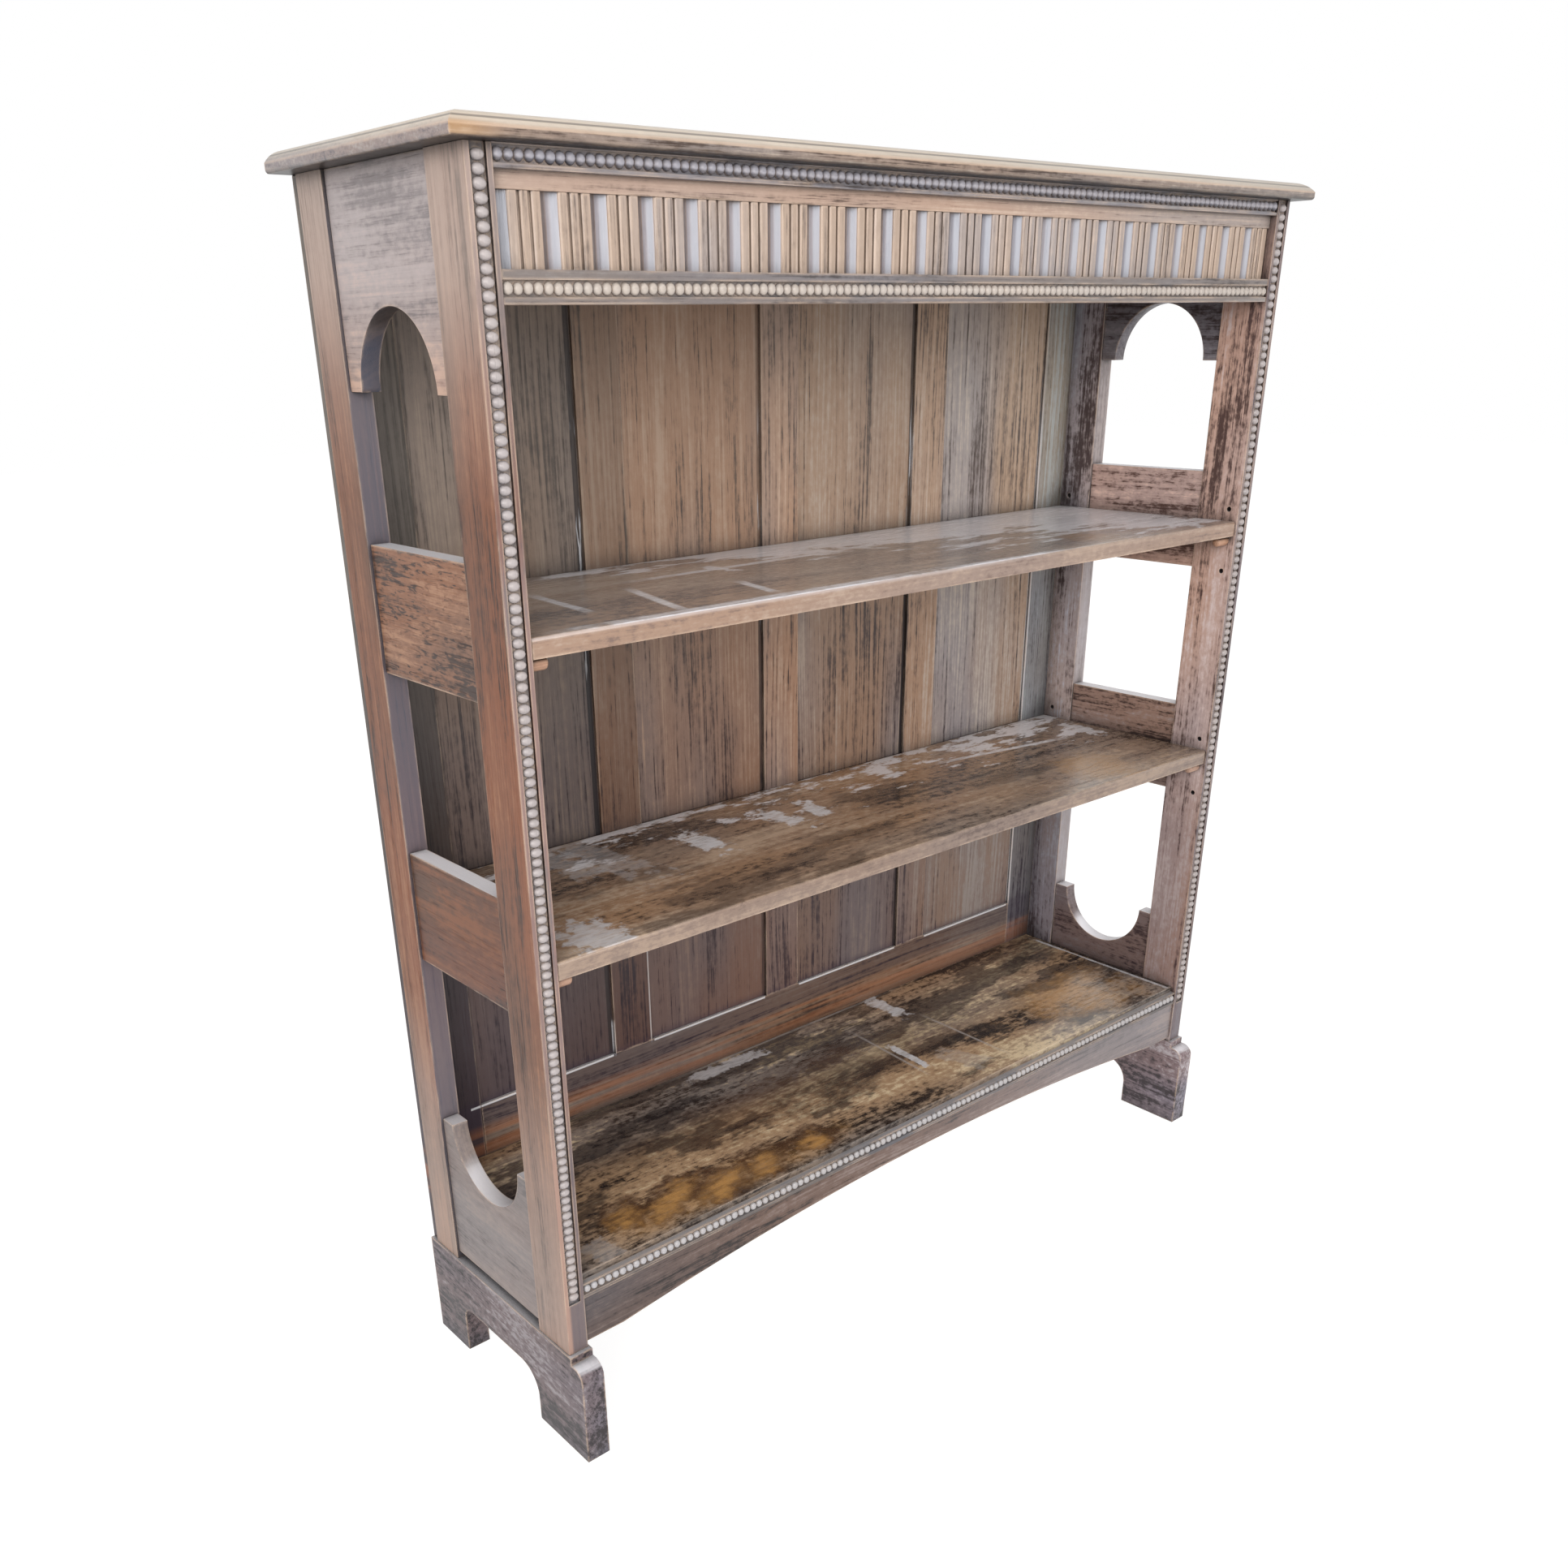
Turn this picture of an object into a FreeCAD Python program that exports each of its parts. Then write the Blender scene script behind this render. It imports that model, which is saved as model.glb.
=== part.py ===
import FreeCAD, Part
import Sketcher
import math
import operator
import os
from types import SimpleNamespace

# An open bookcase in dark oak. Two pierced side frames on sled feet carry a moulded top, a fluted
# frieze, a fixed bottom board over an arched apron, two loose shelves on turned pegs and a panelled
# back. Millimetres, +Z up, front towards -Y, origin on the floor under the middle of the piece.

SIZES = {
    # side frames
    "case_width": 1108,
    "side_depth": 280,
    "stile_thickness": 24,
    "front_stile_width": 58,
    "rear_stile_width": 48,
    "rail_recess": 3,
    "rail_inner_recess": 2,
    "bottom_rail_gap": 10,
    "bottom_rail_width": 178,
    "lower_window": 194,
    "middle_rail_width": 118,
    "middle_window": 183,
    "upper_window": 129,
    "top_rail_width": 170,
    "arch_shoulder": 21,
    # joints
    "tenon_thickness": 8,
    "tenon_shoulder": 12,
    "mortise_wall": 30,
    "cross_mortise_wall": 10,
    "foot_tenon_length": 40,
    "foot_tenon_inset": 10,
    "glue_gap": 0.1,
    # sled feet
    "foot_height": 130,
    "foot_step": 2,
    "foot_projection": 24,
    "foot_ledge": 5,
    "foot_quirk": 9,
    "foot_nose_radius": 15,
    "foot_front_leg": 93,
    "foot_rear_leg": 65,
    "foot_arch_height": 65,
    "foot_arch_front_radius": 33,
    "foot_arch_rear_radius": 18,
    # top board
    "top_thickness": 18,
    "top_side_overhang": 21,
    "top_front_overhang": 18,
    "top_thumb_width": 20,
    "top_thumb_drop": 10,
    "top_lower_radius": 3,
    "glue_block_side": 20,
    "glue_block_length": 60,
    "glue_block_spacing": 350,
    # beaded strips
    "bead_pitch": 9.2,
    "bead_width": 9.6,
    "bead_height": 4.8,
    "bead_flat": 3.6,
    "bead_channel": 12,
    "strip_setback": 1,
    "strip_thickness": 7,
    "strip_channel_depth": 3,
    "stile_bead_width": 12.4,
    "stile_bead_channel": 14,
    "stile_channel_depth": 6,
    "stile_strip_base": 3,
    # frieze
    "upper_strip_height": 16,
    "upper_strip_margin": 1,
    "frieze_rail_height": 13,
    "flute_height": 53,
    "lower_strip_height": 24,
    "lower_strip_margin": 7,
    "frieze_backing": 10,
    "flute_panel_setback": 1,
    "flute_width": 15.4,
    "flute_depth": 4,
    "flute_web": 2,
    "reed_width": 10.2,
    "reed_gap": 2,
    "reed_rise": 2,
    "reed_flat": 6,
    # bottom board and apron
    "board_thickness": 18,
    "board_end_gap": 0.5,
    "apron_thickness": 18,
    "apron_setback": 3,
    "apron_foot_gap": 5,
    "apron_height": 65,
    "apron_arch_rise": 43,
    "apron_end_flat": 50,
    "apron_strip_height": 18,
    "apron_strip_drop": 8,
    "apron_strip_margin": 2,
    "cleat_side": 22,
    "cleat_end_gap": 12,
    # loose shelves and their pegs
    "shelf_thickness": 18,
    "shelf_setback": 2,
    "shelf_end_gap": 1.5,
    "shelf_back_gap": 1,
    "shelf_edge_radius": 3,
    "lower_bay": 340,
    "middle_bay": 280,
    "shelf_rest_gap": 0.3,
    "peg_radius": 6,
    "peg_length": 22,
    "peg_tip_chamfer": 2.5,
    "peg_shank_radius": 3,
    "peg_hole_wall": 8,
    "peg_clearance": 0.05,
    "peg_setback": 14,
    "peg_row_pitch": 38,
    # panelled back
    "back_thickness": 12,
    "back_inset": 2,
    "back_stile_width": 75.5,
    "back_muntin_width": 57,
    "back_top_rail_width": 95,
    "back_bottom_rail_width": 120,
    "back_bottom_rail_rise": 36,
    "back_panel_thickness": 5,
    "back_groove_depth": 8,
    "back_panel_float": 1,
}
REEDS_PER_FLUTE = 3
MUNTINS = 3
PEG_SIDES = 12

doc = FreeCAD.newDocument("bookcase")
sheet = doc.addObject("Spreadsheet::Sheet", "dim")
for line, (alias, value) in enumerate(SIZES.items(), 1):
    sheet.set(f"A{line}", alias)
    sheet.set(f"B{line}", str(value))
    sheet.setAlias(f"B{line}", alias)
doc.recompute()

nodes = []
TURNS = {
    "x": FreeCAD.Rotation(FreeCAD.Vector(0, 1, 0), 90),
    "y": FreeCAD.Rotation(FreeCAD.Vector(1, 0, 0), -90),
    "z": FreeCAD.Rotation(),
}
OPERATIONS = {"+": operator.add, "-": operator.sub, "*": operator.mul, "/": operator.truediv}


# Lengths that carry both the expression on the sheet's sizes and its present value

class Length:
    def __init__(self, text, value):
        self.text = text
        self.value = value

    def __add__(self, other):
        return combine(self, "+", other)

    def __sub__(self, other):
        return combine(self, "-", other)

    def __mul__(self, other):
        return combine(self, "*", other)

    def __truediv__(self, other):
        return combine(self, "/", other)

    def __radd__(self, other):
        return combine(other, "+", self)

    def __rsub__(self, other):
        return combine(other, "-", self)

    def __rmul__(self, other):
        return combine(other, "*", self)

    def __neg__(self):
        return combine(0, "-", self)


def as_length(item):
    return item if isinstance(item, Length) else Length(str(item), item)


def combine(first, sign, second):
    first = as_length(first)
    second = as_length(second)
    return Length(f"({first.text} {sign} {second.text})", OPERATIONS[sign](first.value, second.value))


def whole(length):
    return Length(f"floor({length.text})", math.floor(length.value))


def arc_radius(half_chord, rise):
    """The radius of an arc with a given half chord and rise."""
    return (half_chord * half_chord + rise * rise) / (2 * rise)


dim = SimpleNamespace(**{alias: Length(f"dim.{alias}", value) for alias, value in SIZES.items()})


# Shapes

def bind(item, name, length):
    item.setExpression(name, as_length(length).text)


def place(item, x, y, z):
    for letter, length in zip("xyz", (x, y, z)):
        bind(item, f"Placement.Base.{letter}", length)


def set_box(item, x, y, z):
    """Gives a box its low and high limits along each axis."""
    for name, (low, high) in zip(("Length", "Width", "Height"), (x, y, z)):
        bind(item, name, high - low)
    place(item, x[0], y[0], z[0])
    return item


def set_rod(item, axis, along, first, second, radius):
    """Lays a cylinder along an axis, with its centre on the other two axes."""
    item.Placement = FreeCAD.Placement(FreeCAD.Vector(), TURNS[axis])
    bind(item, "Radius", radius)
    bind(item, "Height", along[1] - along[0])
    centre = [first, second]
    centre.insert("xyz".index(axis), along[0])
    place(item, *centre)
    return item


def box(x, y, z):
    return set_box(doc.addObject("Part::Box", "block"), x, y, z)


def rod(axis, along, first, second, radius):
    return set_rod(doc.addObject("Part::Cylinder", "rod"), axis, along, first, second, radius)


def joined(shapes):
    if len(shapes) == 1:
        return shapes[0]
    item = doc.addObject("Part::MultiFuse", "joined")
    item.Shapes = shapes
    item.Refine = True
    return item


def less(base, cuts):
    item = doc.addObject("Part::Cut", "less")
    item.Base = base
    item.Tool = joined(cuts)
    item.Refine = True
    return item


def rounding(axis, along, side, level):
    """The waste of a rounded edge along an axis. side and level are the edge's place on the other two axes, the sign
    that points into the wood and how far the curve reaches; the curve ends parallel to the side's axis."""
    (edge, inward, reach), (top, downward, drop) = side, level
    radius = arc_radius(reach, drop)
    limits = [tuple(sorted((edge, edge + inward * reach), key=lambda length: length.value)),
              tuple(sorted((top, top + downward * drop), key=lambda length: length.value))]
    limits.insert("xyz".index(axis), along)
    return less(box(*limits), [rod(axis, along, edge + inward * reach, top + downward * radius, radius)])


def origin_item(body, role):
    return next(item for item in body.Origin.OriginFeatures if item.Role == role)


def outline(body, role, offset, corners):
    """A closed sketch on one of the body's planes, moved along the plane's normal. A corner is its place and, where
    the side that ends there is an arc, the arc's radius: positive where it turns left, negative where right."""
    sketch = body.newObject("Sketcher::SketchObject", "outline")
    sketch.AttachmentSupport = [(origin_item(body, role), "")]
    sketch.MapMode = "FlatFace"
    bind(sketch, "AttachmentOffset.Base.z", offset)
    points = [FreeCAD.Vector(as_length(corner[0]).value, as_length(corner[1]).value) for corner in corners]
    for index, corner in enumerate(corners):
        first, last = points[index - 1], points[index]
        if len(corner) == 2:
            sketch.addGeometry(Part.LineSegment(first, last))
        else:
            half = (last - first) / 2
            radius = abs(corner[2].value)
            rise = radius - math.sqrt(radius * radius - half.Length * half.Length)
            across = FreeCAD.Vector(half.y, -half.x) * (math.copysign(rise, corner[2].value) / half.Length)
            sketch.addGeometry(Part.Arc(first, first + half + across, last))
    turns_right = [len(corner) == 3 and corner[2].value < 0 for corner in corners]
    for index, corner in enumerate(corners):
        after = (index + 1) % len(corners)
        end = 1 if turns_right[index] else 2
        start = 2 if turns_right[after] else 1
        sketch.addConstraint(Sketcher.Constraint("Coincident", index, end, after, start))
        for kind, length in (("DistanceX", corner[0]), ("DistanceY", corner[1])):
            rule = Sketcher.Constraint(kind, -1, 1, index, end, as_length(length).value)
            bind(sketch, f"Constraints[{sketch.addConstraint(rule)}]", length)
        if len(corner) == 3:
            radius = -corner[2] if turns_right[index] else corner[2]
            bind(sketch, f"Constraints[{sketch.addConstraint(Sketcher.Constraint('Radius', index, radius.value))}]",
                 radius)
    doc.recompute()
    return sketch


def pad(body, sketch, length):
    item = body.newObject("PartDesign::Pad", "pad")
    item.Profile = sketch
    bind(item, "Length", length)
    doc.recompute()
    return item


def add_block(body, x, y, z):
    set_box(body.newObject("PartDesign::AdditiveBox", "block"), x, y, z)
    doc.recompute()


def cut_block(body, x, y, z):
    set_box(body.newObject("PartDesign::SubtractiveBox", "cut"), x, y, z)
    doc.recompute()


def repeat(body, feature, axis, count, pitch):
    """Copies a feature along an axis of its body."""
    doc.recompute()
    pattern = body.newObject("PartDesign::LinearPattern", "repeat")
    pattern.Originals = [feature]
    pattern.Direction = (origin_item(body, f"{axis.upper()}_Axis"), [""])
    bind(pattern, "Length", (count - 1) * pitch)
    bind(pattern, "Occurrences", count)
    body.Tip = pattern


def new_body(label):
    return doc.addObject("PartDesign::Body", label)


def node(label, item):
    """Names a finished piece."""
    item.Label = label
    nodes.append(item)


# Places

HALF = dim.case_width / 2
INNER = HALF - dim.stile_thickness
INNER_WIDTH = (-INNER, INNER)
FRONT = (dim.foot_projection - dim.side_depth - dim.back_thickness) / 2
BACK = dim.side_depth + dim.back_thickness
WINDOW = (dim.front_stile_width, dim.side_depth - dim.rear_stile_width)
WINDOW_MIDDLE = (WINDOW[0] + WINDOW[1]) / 2
RAIL_FACES = (dim.rail_recess, dim.stile_thickness - dim.rail_inner_recess)
RAIL_MIDDLE = (RAIL_FACES[0] + RAIL_FACES[1]) / 2

BOTTOM_RAIL_LOW = dim.foot_height + dim.bottom_rail_gap
BOTTOM_RAIL_HIGH = BOTTOM_RAIL_LOW + dim.bottom_rail_width
LOWER_RAIL_LOW = BOTTOM_RAIL_HIGH + dim.lower_window
LOWER_RAIL_HIGH = LOWER_RAIL_LOW + dim.middle_rail_width
UPPER_RAIL_LOW = LOWER_RAIL_HIGH + dim.middle_window
UPPER_RAIL_HIGH = UPPER_RAIL_LOW + dim.middle_rail_width
TOP_RAIL_LOW = UPPER_RAIL_HIGH + dim.upper_window
STILE_TOP = TOP_RAIL_LOW + dim.top_rail_width
TOP = STILE_TOP + dim.top_thickness
RAILS = {
    "bottom_rail": (BOTTOM_RAIL_LOW, BOTTOM_RAIL_HIGH),
    "lower_rail": (LOWER_RAIL_LOW, LOWER_RAIL_HIGH),
    "upper_rail": (UPPER_RAIL_LOW, UPPER_RAIL_HIGH),
    "top_rail": (TOP_RAIL_LOW, STILE_TOP),
}

APRON_LOW = dim.foot_height + dim.apron_foot_gap
BOARD_LOW = APRON_LOW + dim.apron_height
BOARD_TOP = BOARD_LOW + dim.board_thickness
APRON_STRIP_HIGH = BOARD_TOP - dim.apron_strip_drop
APRON_STRIP_LOW = APRON_STRIP_HIGH - dim.apron_strip_height
SHELVES = {
    "lower": BOARD_TOP + dim.lower_bay,
    "upper": BOARD_TOP + dim.lower_bay + dim.shelf_thickness + dim.middle_bay,
}

FRIEZE_RAIL_HIGH = STILE_TOP - dim.upper_strip_height
FLUTE_HIGH = FRIEZE_RAIL_HIGH - dim.frieze_rail_height
FLUTE_LOW = FLUTE_HIGH - dim.flute_height
FRIEZE_LOW = FLUTE_LOW - dim.lower_strip_height
FRIEZE_FACE = dim.strip_setback + dim.strip_thickness
FLUTE_GROUND = FRIEZE_FACE + dim.flute_panel_setback + dim.reed_rise
FLUTE_BACK = FLUTE_GROUND + dim.flute_depth + dim.flute_web
FRIEZE_BACK = FLUTE_BACK + dim.frieze_backing
FRIEZE_MIDDLE = (FLUTE_BACK + FRIEZE_BACK) / 2
APRON_BACK = dim.apron_setback + dim.apron_thickness
APRON_MIDDLE = (FRIEZE_FACE + APRON_BACK) / 2
CROSS_END = HALF - dim.cross_mortise_wall - dim.glue_gap

BACK_EDGE = HALF - dim.back_inset
SIGHT_EDGE = BACK_EDGE - dim.back_stile_width
PANEL_WIDTH = (2 * SIGHT_EDGE - MUNTINS * dim.back_muntin_width) / (MUNTINS + 1)
BACK_RAIL_LOW = dim.foot_height + dim.back_bottom_rail_rise
PANEL_LOW = BACK_RAIL_LOW + dim.back_bottom_rail_width
PANEL_HIGH = STILE_TOP - dim.back_top_rail_width


def inwards(side, low, high):
    """The x range measured inwards from the outer face of one side."""
    return (low - HALF, high - HALF) if side == "left" else (HALF - high, HALF - low)


def behind(low, high):
    """The y range measured back from the front of the stiles."""
    return FRONT + low, FRONT + high


def centred(width, middle):
    return middle - width / 2, middle + width / 2


BACK_FACES = behind(dim.side_depth, BACK)
BACK_MIDDLE = (BACK_FACES[0] + BACK_FACES[1]) / 2
GROOVE_FACES = centred(dim.back_panel_thickness + 2 * dim.glue_gap, BACK_MIDDLE)
TONGUE_FACES = centred(dim.back_panel_thickness, BACK_MIDDLE)
TONGUE = dim.back_groove_depth - dim.glue_gap


def peg_height(shelf):
    return SHELVES[shelf] - dim.shelf_rest_gap - dim.peg_radius


def peg_depth(row):
    return FRONT + (dim.peg_setback if row == "front" else dim.side_depth - dim.peg_setback)


def stile_depth(row):
    return (0, WINDOW[0]) if row == "front" else (WINDOW[1], dim.side_depth)


# Side frames

def rail_mortises(side, row):
    """The four rail mortises of one stile, a glue gap larger than the tenons."""
    x = inwards(side, *centred(dim.tenon_thickness + 2 * dim.glue_gap, RAIL_MIDDLE))
    front = (dim.mortise_wall, WINDOW[0])
    rear = (WINDOW[1], dim.side_depth - dim.mortise_wall)
    y = behind(*(front if row == "front" else rear))
    reach = dim.tenon_shoulder - dim.glue_gap
    return [box(x, y, (low + reach, high - reach)) for low, high in RAILS.values()]


def cross_mortise(side, middle, low, high):
    """A mortise in the inner face of a front stile for the frieze or the apron."""
    x = inwards(side, dim.cross_mortise_wall, dim.stile_thickness)
    y = behind(*centred(dim.tenon_thickness + 2 * dim.glue_gap, middle))
    reach = dim.tenon_shoulder - dim.glue_gap
    return box(x, y, (low + reach, high - reach))


def peg_holes(side, row):
    """For each shelf a peg hole, with a spare one above and below it."""
    x = inwards(side, dim.peg_hole_wall, dim.stile_thickness)
    radius = dim.peg_shank_radius + dim.peg_clearance
    holes = []
    for height in (peg_height(shelf) + step * dim.peg_row_pitch for shelf in SHELVES for step in (-1, 0, 1)):
        hole = doc.addObject("Part::Prism", "hole")
        holes.append(set_peg_prism(hole, x, peg_depth(row), height, radius))
    return holes


def set_peg_prism(item, x, y, z, radius):
    """Lays a near-round length of a peg, or of its hole, across the case."""
    item.Polygon = PEG_SIDES
    item.Placement = FreeCAD.Placement(FreeCAD.Vector(), TURNS["x"])
    bind(item, "Circumradius", radius)
    bind(item, "Height", x[1] - x[0])
    place(item, x[0], y, z)
    return item


def foot_tenon(side, row, gap):
    """The limits of a stile's tenon in the foot, grown by a gap."""
    low, high = stile_depth(row)
    x = inwards(side, *centred(dim.tenon_thickness + 2 * gap, dim.stile_thickness / 2))
    y = behind(low + dim.foot_tenon_inset - gap, high - dim.foot_tenon_inset + gap)
    return x, y, (dim.foot_height - dim.foot_tenon_length - gap, dim.foot_height)


def stile(side, row):
    post = box(inwards(side, 0, dim.stile_thickness), behind(*stile_depth(row)), (dim.foot_height, STILE_TOP))
    tenon = box(*foot_tenon(side, row, 0))
    cuts = rail_mortises(side, row) + peg_holes(side, row)
    if row == "front":
        channel = inwards(side, *centred(dim.stile_bead_channel, dim.stile_thickness / 2))
        cuts.append(box(channel, behind(0, dim.stile_channel_depth), (APRON_STRIP_LOW, STILE_TOP)))
        cuts.append(cross_mortise(side, FRIEZE_MIDDLE, FRIEZE_LOW, STILE_TOP))
        cuts.append(cross_mortise(side, APRON_MIDDLE, APRON_LOW, APRON_STRIP_LOW))
    node(f"{side}_{row}_stile", less(joined([post, tenon]), cuts))


def rail(side, name):
    """A rail tenoned into both stiles; the top and bottom rails have a half-round cut-out."""
    low, high = RAILS[name]
    plank = box(inwards(side, *RAIL_FACES), behind(*WINDOW), (low, high))
    reach = dim.mortise_wall + dim.glue_gap
    tenons = box(inwards(side, *centred(dim.tenon_thickness, RAIL_MIDDLE)), behind(reach, dim.side_depth - reach),
                 (low + dim.tenon_shoulder, high - dim.tenon_shoulder))
    piece = joined([plank, tenons])
    if name in ("top_rail", "bottom_rail"):
        radius = (WINDOW[1] - WINDOW[0]) / 2 - dim.arch_shoulder
        level = low if name == "top_rail" else high
        cut = rod("x", inwards(side, 0, dim.stile_thickness), FRONT + WINDOW_MIDDLE, level, radius)
        piece = less(piece, [cut])
    node(f"{side}_{name}", piece)


def foot(side):
    """A sled foot: a nosed front below a quirk, and a long arch between its two legs."""
    label = f"{side}_foot"
    body = new_body(label)
    x = inwards(side, -dim.foot_step, dim.stile_thickness + dim.foot_step)
    front, rear = behind(-dim.foot_projection, BACK)
    leg, heel = front + dim.foot_front_leg, rear - dim.foot_rear_leg
    crown = dim.foot_arch_height
    ledge = FRONT - dim.foot_ledge
    nose = dim.foot_height - dim.foot_quirk
    corners = [
        (front, 0),
        (leg, 0),
        (leg, crown - dim.foot_arch_front_radius),
        (leg + dim.foot_arch_front_radius, crown, -dim.foot_arch_front_radius),
        (heel - dim.foot_arch_rear_radius, crown),
        (heel, crown - dim.foot_arch_rear_radius, -dim.foot_arch_rear_radius),
        (heel, 0),
        (rear, 0),
        (rear, dim.foot_height),
        (ledge, dim.foot_height),
        (ledge, nose),
        (front + dim.foot_nose_radius, nose),
        (front, nose - dim.foot_nose_radius, dim.foot_nose_radius),
    ]
    pad(body, outline(body, "YZ_Plane", x[0], corners), x[1] - x[0])
    for row in ("front", "rear"):
        cut_block(body, *foot_tenon(side, row, dim.glue_gap))
    node(label, body)


# Top board with a thumb moulding on the front and both ends

def top_board():
    end = HALF + dim.top_side_overhang
    x = (-end, end)
    y = behind(-dim.top_front_overhang, BACK)
    waste = []
    for axis, along, edge, inward in (("x", x, y[0], 1), ("y", y, x[0], 1), ("y", y, x[1], -1)):
        waste.append(rounding(axis, along, (edge, inward, dim.top_thumb_width), (TOP, -1, dim.top_thumb_drop)))
        waste.append(rounding(axis, along, (edge, inward, dim.top_lower_radius),
                              (STILE_TOP, 1, dim.top_lower_radius)))
    node("top_board", less(box(x, y, (STILE_TOP, TOP)), waste))


def top_glue_blocks():
    z = (STILE_TOP - dim.glue_block_side, STILE_TOP)
    blocks = []
    for step in (-1, 0, 1):
        x = centred(dim.glue_block_length, step * dim.glue_block_spacing)
        blocks.append(box(x, behind(FRIEZE_BACK, FRIEZE_BACK + dim.glue_block_side), z))
    for side in ("left", "right"):
        x = inwards(side, RAIL_FACES[1], RAIL_FACES[1] + dim.glue_block_side)
        blocks.append(box(x, behind(*centred(dim.glue_block_length, WINDOW_MIDDLE)), z))
    group("top_glue_blocks", blocks)


def group(label, items):
    item = doc.addObject("Part::Compound", label)
    item.Links = items
    node(label, item)


# Beaded strips: a channelled fillet with a row of touching beads

def bead_row(body, axis, along, across, ground, width):
    """Beads along an axis, as many as fit, centred on the strip and standing on the channel's floor."""
    length = along[1] - along[0]
    count = whole(length / dim.bead_pitch)
    first = along[0] + (length - (count - 1) * dim.bead_pitch) / 2
    bead = body.newObject("PartDesign::AdditiveWedge", "bead")
    spans = {"X": dim.bead_pitch, "Z": width} if axis == "x" else {"X": width, "Z": dim.bead_pitch}
    for letter, span in spans.items():
        bind(bead, f"{letter}min", -dim.bead_flat / 2)
        bind(bead, f"{letter}max", dim.bead_flat / 2)
        bind(bead, f"{letter}2min", -span / 2)
        bind(bead, f"{letter}2max", span / 2)
    bead.Ymin = 0
    bind(bead, "Ymax", dim.bead_height)
    y = FRONT + ground - dim.bead_height
    place(bead, *((first, y, across) if axis == "x" else (across, y, first)))
    repeat(body, bead, axis, count, dim.bead_pitch)


def cross_strip(label, low, high, channel_low):
    """A strip across the front with a fillet above and below its beads."""
    body = new_body(label)
    channel_high = channel_low + dim.bead_channel
    ground = dim.strip_setback + dim.strip_channel_depth
    face, rear = behind(dim.strip_setback, FRIEZE_FACE)
    section = [(face, low), (rear, low), (rear, high), (face, high), (face, channel_high),
               (FRONT + ground, channel_high), (FRONT + ground, channel_low), (face, channel_low)]
    pad(body, outline(body, "YZ_Plane", -INNER, section), 2 * INNER)
    bead_row(body, "x", INNER_WIDTH, (channel_low + channel_high) / 2, ground, dim.bead_width)
    node(label, body)


def stile_strip(side):
    label = f"{side}_stile_beads"
    body = new_body(label)
    x = inwards(side, *centred(dim.stile_bead_channel, dim.stile_thickness / 2))
    ground = dim.stile_channel_depth - dim.stile_strip_base
    z = (APRON_STRIP_LOW, STILE_TOP)
    add_block(body, x, behind(ground, dim.stile_channel_depth), z)
    bead_row(body, "z", z, (x[0] + x[1]) / 2, ground, dim.stile_bead_width)
    node(label, body)


# Frieze

def frieze_board():
    plank = box(INNER_WIDTH, behind(FRIEZE_FACE, FRIEZE_BACK), (FRIEZE_LOW, STILE_TOP))
    tenons = box((-CROSS_END, CROSS_END), behind(*centred(dim.tenon_thickness, FRIEZE_MIDDLE)),
                 (FRIEZE_LOW + dim.tenon_shoulder, STILE_TOP - dim.tenon_shoulder))
    pocket = box(INNER_WIDTH, behind(FRIEZE_FACE, FLUTE_BACK), (FLUTE_LOW, FLUTE_HIGH))
    node("frieze_board", less(joined([plank, tenons]), [pocket]))


def fluted_panel():
    """A hollow flute and a group of reeds drawn as one section, and repeated along the panel's web."""
    body = new_body("fluted_panel")
    ground, rear = behind(FLUTE_GROUND, FLUTE_BACK)
    left = INNER_WIDTH[0]
    period = dim.flute_width + REEDS_PER_FLUTE * dim.reed_width
    half_reed = (dim.reed_width - dim.reed_gap) / 2
    section = [(left, ground), (left + dim.flute_width, ground, -arc_radius(dim.flute_width / 2, dim.flute_depth))]
    for index in range(REEDS_PER_FLUTE):
        middle = left + dim.flute_width + (index + 0.5) * dim.reed_width
        section.append((middle - half_reed, ground))
        section.append((middle - dim.reed_flat / 2, ground - dim.reed_rise))
        section.append((middle + dim.reed_flat / 2, ground - dim.reed_rise))
        section.append((middle + half_reed, ground))
    section += [(left + period, ground), (left + period, rear), (left, rear)]
    add_block(body, INNER_WIDTH, (rear - dim.flute_web, rear), (FLUTE_LOW, FLUTE_HIGH))
    wave = pad(body, outline(body, "XY_Plane", FLUTE_LOW, section), dim.flute_height)
    repeat(body, wave, "x", whole(2 * INNER / period), period)
    node("fluted_panel", body)


# Bottom board, apron and cleats

def bottom_board():
    end = INNER - dim.board_end_gap
    node("bottom_board", box((-end, end), behind(FRIEZE_FACE, dim.side_depth), (BOARD_LOW, BOARD_TOP)))


def apron():
    """A rail under the bottom board, arched below and rebated above for its beaded strip."""
    body = new_body("apron")
    half_span = INNER - dim.apron_end_flat
    profile = [
        (-INNER, APRON_LOW),
        (-half_span, APRON_LOW),
        (half_span, APRON_LOW, -arc_radius(half_span, dim.apron_arch_rise)),
        (INNER, APRON_LOW),
        (INNER, BOARD_LOW),
        (-INNER, BOARD_LOW),
    ]
    pad(body, outline(body, "XZ_Plane", -(FRONT + APRON_BACK), profile), dim.apron_thickness)
    y = behind(*centred(dim.tenon_thickness, APRON_MIDDLE))
    z = (APRON_LOW + dim.tenon_shoulder, APRON_STRIP_LOW - dim.tenon_shoulder)
    add_block(body, (-CROSS_END, -INNER), y, z)
    add_block(body, (INNER, CROSS_END), y, z)
    cut_block(body, INNER_WIDTH, behind(dim.apron_setback, FRIEZE_FACE), (APRON_STRIP_LOW, BOARD_LOW))
    node("apron", body)


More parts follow.
